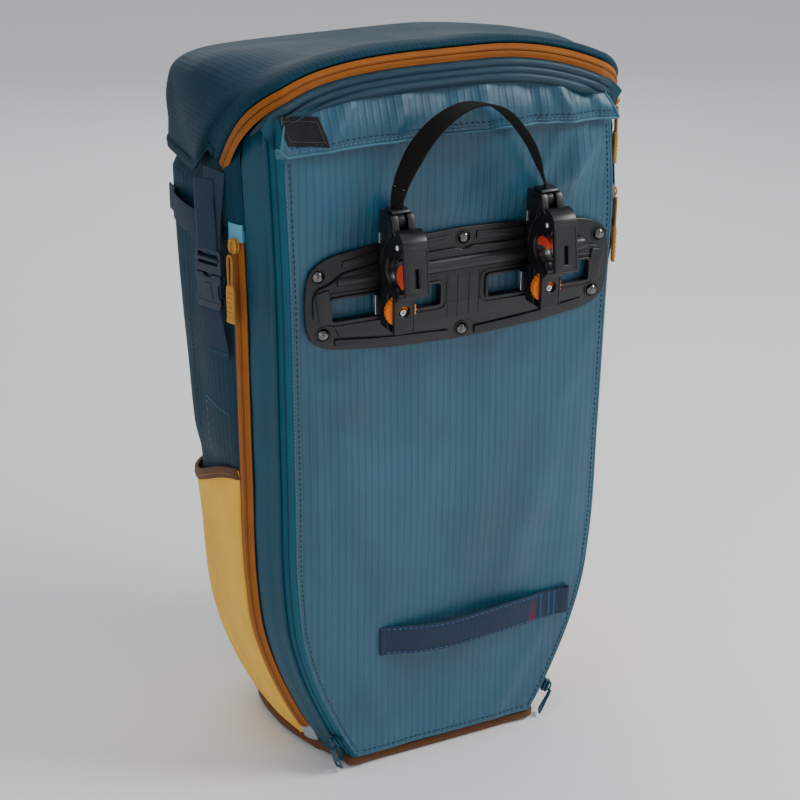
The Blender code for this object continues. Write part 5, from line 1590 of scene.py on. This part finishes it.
def hook(side, x):
    """One rail hook, drawn in (out from the plate, above the windows' middle)."""
    origin = at(x, HOOK_BASE, SLOT_Z)
    body = f"hook_{side}"

    def point(u, h, w=0.0):
        return origin + Vector((w, -u, h))

    def slab(name, loops, low, high, bevel=0.0006):
        """A plate across the hook, from `low` to `high` in X, drawn in (out, up)."""
        return plate(name, loops, high - low, bevel, facing_place(point(0, 0, high), (-1, 0, 0)))

    def front(name, loops, low, high, bevel=0.0005):
        """A plate facing out, from `low` to `high` off the plate, drawn in (across, up)."""
        return plate(name, loops, high - low, bevel, facing_place(point(low, 0), TO_BACK))

    cheek = [(0.0040, 0.0130), (0.0300, 0.0130), (0.0300, 0.0182)]
    cheek += arc(MOUTH, MOUTH_R, -58, -302, 22)
    cheek += [(0.0283, 0.0424)] + arc(PIN, 0.0076, -55, 118, 12)
    cheek += [(0.0208, 0.0588), (0.0184, 0.0672), (0.0165, 0.0692), (-0.0012, 0.0692), (-0.0026, 0.0676),
              (-0.0026, 0.0300), (0.0004, 0.0225)]
    recess = disc_loop((0.0178, 0.0556), 0.0016, 16)
    pieces = []
    for word, sign in SIGN.items():
        low, high = sorted((sign * CHEEK_IN, sign * CHEEK_OUT))
        pieces.append(slab(f"cheek_{word}", [cheek, recess], low, high, 0.0007))
        raised = [(0.0022, 0.0300), (0.0060, 0.0440), (0.0120, 0.0500), (0.0160, 0.0620), (0.0150, 0.0660),
                  (0.0010, 0.0660), (0.0006, 0.0330)]
        low, high = sorted((sign * (CHEEK_OUT - 0.0002), sign * (CHEEK_OUT + 0.0005)))
        pieces.append(slab(f"cheek_pad_{word}", [rounded(raised, 0.0020)], low, high, 0.0003))
        rim = [point(u, h, sign * (CHEEK_OUT + 0.0001)) for u, h in arc(MOUTH, MOUTH_R + 0.0008, -66, -296,
                                                                        30)]
        pieces.append(tube(f"mouth_rim_{word}", rim, 0.0006, 8, (1, 0, 0)))
    core = [(0.0006, 0.0130), (0.0296, 0.0130), (0.0296, 0.0178)] + arc(MOUTH, MOUTH_R + 0.0004, -58, -200,
                                                                        14)
    core += [(0.0120, 0.0440), (0.0080, 0.0520), (-0.0024, 0.0520), (-0.0024, 0.0300), (0.0006, 0.0225)]
    pieces.append(slab("core", [core], -CHEEK_IN - 0.0002, CHEEK_IN + 0.0002, 0.0003))
    pieces.append(front("rear_block", [rectangle(-0.0080, 0.0080, -0.0145, 0.0134, 0.0010)], 0.0, 0.0117,
                        0.0006))
    for word, low, high in (("foot", -0.0145, -0.0123), ("head", 0.0122, 0.0138)):
        bridge = rectangle(0.0100, 0.0220, low, high, 0.0004)
        pieces.append(slab(f"{word}_bridge", [bridge], -0.0074, 0.0074, 0.0004))
    front_outline = rectangle(-0.0076, 0.0076, -0.0145, 0.0138, 0.0008)
    pieces.append(front("front_block", [front_outline, disc_loop((0, 0.0015), 0.0041, 32)], 0.0182, 0.0222,
                        0.0005))
    trim = [rectangle(-0.0076, 0.0076, -0.0145, 0.0100, 0.0008),
            rectangle(-0.0066, 0.0066, -0.0133, 0.0102, 0.0006)]
    pieces.append(front("front_trim", trim, 0.0220, 0.0226, 0.0003))
    for k, (low, high, reach) in enumerate(((0.0168, 0.0186, 0.0312), (0.0140, 0.0156, 0.0304))):
        pieces.append(front(f"lip_{k}", [rectangle(-0.0090, 0.0090, low, high, 0.0006)], reach - 0.0030,
                            reach, 0.0005))
    throat = rounded([(0.0180, 0.0134), (0.0262, 0.0134), (0.0240, 0.0095), (0.0180, 0.0095)], 0.0010)
    pieces.append(slab("throat", [throat], -0.0072, 0.0072, 0.0005))
    ride(join(f"hook_housing_{side}", pieces), body, "black_plastic", replaces=[f"hook_body_{side}"])
    # painted shade: the recess floor gets the darker matte black that stands for the shade in the hole
    deep = facing_place(point(0.0178, 0.0556, -CHEEK_IN - 0.0004), (-1, 0, 0))
    recess_floor = [(0.0, 0.0006), (0.0018, 0.0006), (0.0018, 0.0), (0.0, 0.0)]
    ride(lathe(f"hook_recess_{side}", recess_floor, deep, 16), body, "recess_shade")
    strip = [rectangle(-0.0008, 0.0006, 0.0455, 0.0532, 0.0003)]
    strips = [slab("strip", strip, x - 0.0010, x + 0.0010, 0.0002) for x in (-CHEEK_OUT, CHEEK_OUT)]
    ride(join(f"hook_spring_{side}", strips), body, "steel")
    pins = []
    profile = [(0.0, 0.0014), (0.0010, 0.0013), (0.0018, 0.0008), (0.0021, 0.0), (0.0021, -0.0050),
               (0.0, -0.0050)]
    for sign in (-1, 1):
        place = facing_place(point(PIN[0], PIN[1], sign * CHEEK_OUT), (sign, 0, 0))
        pins.append(lathe(f"pin_{sign}", profile, place, 24))
    ride(join(f"hook_pin_heads_{side}", pins), body, "steel", replaces=[f"hook_pin_{side}"])
    clamp(side, point, front)
    hook_arm(side, point, slab)
    lever = [(0.0012, 0.0550), (0.0140, 0.0550), (0.0166, 0.0596), (0.0164, 0.0668), (0.0110, 0.0706),
             (0.0040, 0.0706), (0.0012, 0.0680)]
    cap = [(0.0020, 0.0696), (0.0150, 0.0696), (0.0135, 0.0718), (0.0040, 0.0722)]
    lever_pieces = [slab("lever_block", [rounded(lever, 0.0018)], -0.0031, 0.0031, 0.0006),
                    slab("lever_cap", [rounded(cap, 0.0009)], -0.0066, 0.0066, 0.0005)]
    ride(join(f"hook_lever_block_{side}", lever_pieces), f"lever_{side}", "black_plastic",
         replaces=[f"hook_lever_{side}"])


def clamp(side, point, front):
    """The thumb wheel, its screw, and the steel plate that slides in the plate's window: steel strips at its
    edges, its middle in black plastic as painted shade.
    """
    body = f"hook_{side}"
    scallops = []
    for k in range(144):
        t = math.tau * k / 144
        r = 0.01115 + 0.00035 * math.cos(24 * t)
        scallops.append((r * math.cos(t), r * math.sin(t)))
    wheel = [front("wheel", [scallops, disc_loop((0, 0), 0.0027, 24)], WHEEL_LOW, WHEEL_HIGH, 0.0006),
             front("hub", [disc_loop((0, 0), 0.0052, 32), disc_loop((0, 0), 0.0027, 24)],
                   WHEEL_HIGH - 0.0003, WHEEL_HIGH + 0.0005, 0.0002)]
    ride(join(f"wheel_{side}", wheel), f"thumbwheel_{side}", "orange_plastic",
         replaces=[f"thumbwheel_{side}"])
    profile = [(0.0, 0.0175), (0.0012, 0.0175), (0.0013, 0.0196), (0.0021, 0.0198), (0.0025, 0.0192),
               (0.0025, -0.0030), (0.0, -0.0030)]
    screw = lathe(f"clamp_screw_{side}", profile, facing_place(point(0, 0), TO_BACK), 24)
    ride(screw, body, "steel", replaces=[f"clamp_bolt_{side}"])
    low, high = -0.0060, -0.0012
    strips = [front("strip", [rectangle(x, x + 0.0009, -0.0072, 0.0072, 0.0004)], low, high, 0.0003)
              for x in (-0.0113, 0.0104)]
    ride(join(f"clamp_edges_{side}", strips), body, "steel")
    # painted shade: the middle of the steel clamp plate, which lies in shade, is drawn in black plastic
    # between its steel edges
    ride(front(f"clamp_block_{side}", [rectangle(-0.0110, 0.0110, -0.0070, 0.0070, 0.0008)], low, 0.0004,
               0.0005),
         body, "black_plastic")


def hook_arm(side, point, slab):
    """The arm that closes the hook's mouth, with its red insert."""
    body = f"arm_{side}"
    half = 0.0093
    cap = arc(PIN, 0.0114, 102, 31, 10) + arc(PIN, 0.0080, 31, 102, 10)
    knee = arc(PIN, 0.0114, 27, 1, 6) + arc(PIN, 0.0082, 1, 27, 6)
    pieces = [slab("arm_cap", [cap], -half, half, 0.0008), slab("arm_knee", [knee], -half, half, 0.0007),
              slab("arm_seam", [arc(PIN, 0.0110, 33, 24, 3) + arc(PIN, 0.0086, 24, 33, 3)], -half + 0.0008,
                   half - 0.0008, 0.0003)]
    lug = arc(PIN, 0.0056, 60, 290, 12) + [(0.0370, 0.0405), (0.0366, 0.0555)]
    pieces.append(slab("arm_lug", [lug], -CHEEK_IN + 0.0005, CHEEK_IN - 0.0005, 0.0004))
    top, foot = Vector((PIN[0] + 0.0082, PIN[1])), Vector((0.0394, 0.0190))
    along = (top - foot).normalized()
    length = (top - foot).length
    place = facing_place(point(foot.x, foot.y), (0, -along.y, -along.x), (0, -along.x, along.y))
    outline = rounded([(-half, 0.0), (half, 0.0), (half, length + 0.0012), (-half, length + 0.0012)], 0.0012)
    slot = rectangle(-0.0013, 0.0013, 0.0058, 0.0190, 0.0004)
    pieces.append(plate("arm_face", [outline, slot], 0.0032, 0.0009, place))
    rails = []
    for k, x in enumerate((-half + 0.0005, half - 0.0018)):
        rail = rectangle(x, x + 0.0013, 0.0006, length - 0.0004, 0.0005)
        raised = place @ Matrix.Translation((0, 0, 0.0028))
        rails.append(plate(f"arm_rail_{k}", [rail], 0.0008, 0.00035, raised))
    backing = plate("arm_backing", [rectangle(-0.0030, 0.0030, 0.0030, 0.0230, 0.0006)], 0.0014, 0.0004,
                    place @ Matrix.Translation((0, 0, -0.0012)))
    ride(join(f"hook_arm_shell_{side}", pieces + rails + [backing]), body, "black_plastic",
         replaces=[f"hook_arm_{side}"])
    if side == "left":
        shape = [(0.0384, 0.0236), (0.0318, 0.0222), (0.0266, 0.0246), (0.0242, 0.0292), (0.0254, 0.0346),
                 (0.0292, 0.0386), (0.0338, 0.0408), (0.0360, 0.0396)]
    else:
        shape = arc(MOUTH, MOUTH_R - 0.0012, 158, 32, 10) + [(0.0262, 0.0318), (0.0215, 0.0338),
                                                             (0.0158, 0.0322)]
    insert = [slab("insert", [rounded(shape, 0.0012)], -0.0078, 0.0078, 0.0008)]
    ride(join(f"hook_insert_pad_{side}", insert), body, "red_plastic", replaces=[f"hook_insert_{side}"])


def handle():
    """The carrying handle between the two hooks, in two halves baked in place; the stitches at each end go
    with their own hook.
    """
    thick = 0.0014
    foot = SLOT_Z + 0.0700
    depth = HOOK_BASE - 0.0078
    points = [(HOOK_X["left"], 0.0, 0.0, 0.40), (-0.0535, 0.0005, 0.012, 0.62),
              (-0.0478, 0.002, 0.028, 0.90), (-0.0370, 0.0035, 0.0460, 1.0), (-0.0210, 0.0045, 0.0605, 1.0),
              (-0.0020, 0.0050, 0.0675, 1.0), (0.0180, 0.0045, 0.0630, 1.0), (0.0345, 0.0035, 0.0480, 1.0),
              (0.0465, 0.0025, 0.0310, 0.95), (0.0545, 0.0010, 0.0130, 0.66),
              (HOOK_X["right"], 0.0, 0.0, 0.44)]
    count = 73
    path = spline([Vector((x, BACK + depth - out, foot + z)) for x, out, z, _ in points], count)
    normals = [(-0.55, -0.80, 0.10), (-0.88, -0.34, 0.20), (-0.70, -0.12, 0.68), (0.0, 0.14, 0.98),
               (0.70, 0.02, 0.70), (0.96, -0.08, 0.25), (0.86, -0.45, 0.05)]
    normals = resample(normals, count)
    keys = np.linspace(0, 1, len(points))
    widths = [float(np.interp(k / (count - 1), keys, [w for *_, w in points])) for k in range(count)]
    middle = count // 2
    section = [(-0.96, 0), (-0.5, 0), (0, 0), (0.5, 0), (0.96, 0), (1, 0.5), (0.96, 1), (0.5, 1), (0, 1),
               (-0.5, 1), (-0.96, 1), (-1, 0.5)]
    for side, start, end in (("left", 0, middle + 1), ("right", middle, count)):
        part, outs, wide = path[start:end], normals[start:end], widths[start:end]
        rows = []
        for i, (p, across, out) in enumerate(frames_along(part, lambda i, outs=outs: outs[i])):
            half = WEB / 2 * wide[i]
            cup = 0.0008 * (1 - wide[i])
            rows.append([p + across * half * a + out * (thick * b + cup * (1 - a * a) * 3)
                         for a, b in section])
        run = distances(part)
        ob = sheet(f"handle_{side}", rows, closed=True, smooth_angle=60,
                   weave=lambda r, c, p: (c * 0.003, run[r], 0.0))
        low, high = (part[2], part[-1]) if side == "left" else (part[-3], part[0])
        blend = (f"hook_{side}", "root", low, high)
        ride(ob, blend, "black_web", replaces=["handle_strap"] if side == "left" else ())
        where = 6 if side == "left" else len(part) - 7
        p, across, out = frames_along(part, lambda i, outs=outs: outs[i])[where]
        for k, lift in enumerate((0.0018, -0.0004)):
            line = [p + across * WEB / 2 * wide[where] * 0.85 * a + out * lift
                    for a in (-1, -0.5, 0, 0.5, 1)]
            ride(stitches(f"handle_stitch_{side}_{k}", line, out if k == 0 else -out, 0.0022, 0.0016,
                          0.0003),
                 f"hook_{side}", "pale_brown")


def carried_over():
    """Hidden boards keep their CAD shape and get a moulded finish."""
    for name in ("back_board", "plate_backing"):
        ob = bpy.data.objects.get(name)
        if ob is not None:
            ob.data.materials.clear()
            ob.data.materials.append(MATERIALS["board"][0])


def hardware():
    """Everything that isn't sewn cloth."""
    side_straps()
    lamp_loop()
    zip_hardware()
    hook_plate()
    for side, x in HOOK_X.items():
        hook(side, x)
    handle()
    carried_over()


# ---- stage, light and camera --------------------------------------------------------------------
def stage():
    """A pale floor, soft daylight and five area lights."""
    floor = sheet("floor", facing([[Vector((x, y, FLOOR_Z)) for x in np.linspace(-6, 6, 13)]
                                   for y in np.linspace(-6, 6, 13)], (0, 0, 1)))
    f = Finish("pale_floor", 0.7)
    f.colour(f.mix(f.spread(f.noise(3, 2.0), 0.0, 1.0), (0.88, 0.88, 0.88), (0.90, 0.90, 0.90)))
    floor.data.materials.append(f.material)
    world = bpy.data.worlds.new("studio")
    world.use_nodes = True
    background = world.node_tree.nodes["Background"]
    background.inputs["Color"].default_value = (0.92, 0.95, 1.0, 1.0)
    background.inputs["Strength"].default_value = 0.54
    bpy.context.scene.world = world
    centre = Vector((0, 0, 0.26))
    for name, offset, size, power in (("key", (1.15, -0.70, 1.15), 0.6, 21.0),
                                      ("fill", (-1.4, -0.9, 0.55), 1.4, 5.5),
                                      ("low", (0.80, -1.65, 0.30), 0.6, 2.2),
                                      ("top", (-0.1, 0.35, 1.7), 1.2, 5.0),
                                      ("rear", (0.5, 1.6, 0.8), 1.4, 6.0)):
        lamp = bpy.data.lights.new(name, "AREA")
        lamp.shape = "RECTANGLE"
        lamp.size, lamp.size_y = size, size * 0.8
        lamp.energy = power
        ob = linked(name, lamp)
        ob.location = centre + Vector(offset)
        ob.rotation_euler = Vector(offset).to_track_quat("Z", "Y").to_euler()


VIEW_TURN, VIEW_TILT, VIEW_ROLL = 25.85, 24.64, 0.608     # degrees
VIEW_DISTANCE = 1.2516
VIEW_LENS = 78.3


def camera():
    """The photo's camera."""
    turn, tilt, roll = (math.radians(v) for v in (VIEW_TURN, VIEW_TILT, VIEW_ROLL))
    ahead = Vector((math.sin(turn) * math.cos(tilt), math.cos(turn) * math.cos(tilt), -math.sin(tilt)))
    right = Vector((math.cos(turn), -math.sin(turn), 0))
    up = right.cross(ahead)
    right, up = (right * math.cos(roll) + up * math.sin(roll),
                 up * math.cos(roll) - right * math.sin(roll))
    eye = at(-0.0429, 0, 0.3132) - ahead * VIEW_DISTANCE
    lens = bpy.data.cameras.new("camera")
    lens.lens = VIEW_LENS
    lens.sensor_width = 36
    ob = linked("camera", lens)
    ob.matrix_world = Matrix((right, up, -ahead)).transposed().to_4x4()
    ob.location = eye
    bpy.context.scene.camera = ob


camera()
back_cover()
cover_zips()
rims()
gusset_zips()
hood()
lid_zip()
collar()
storm_flap()
body_walls()
side_pockets()
hardware()
stage()
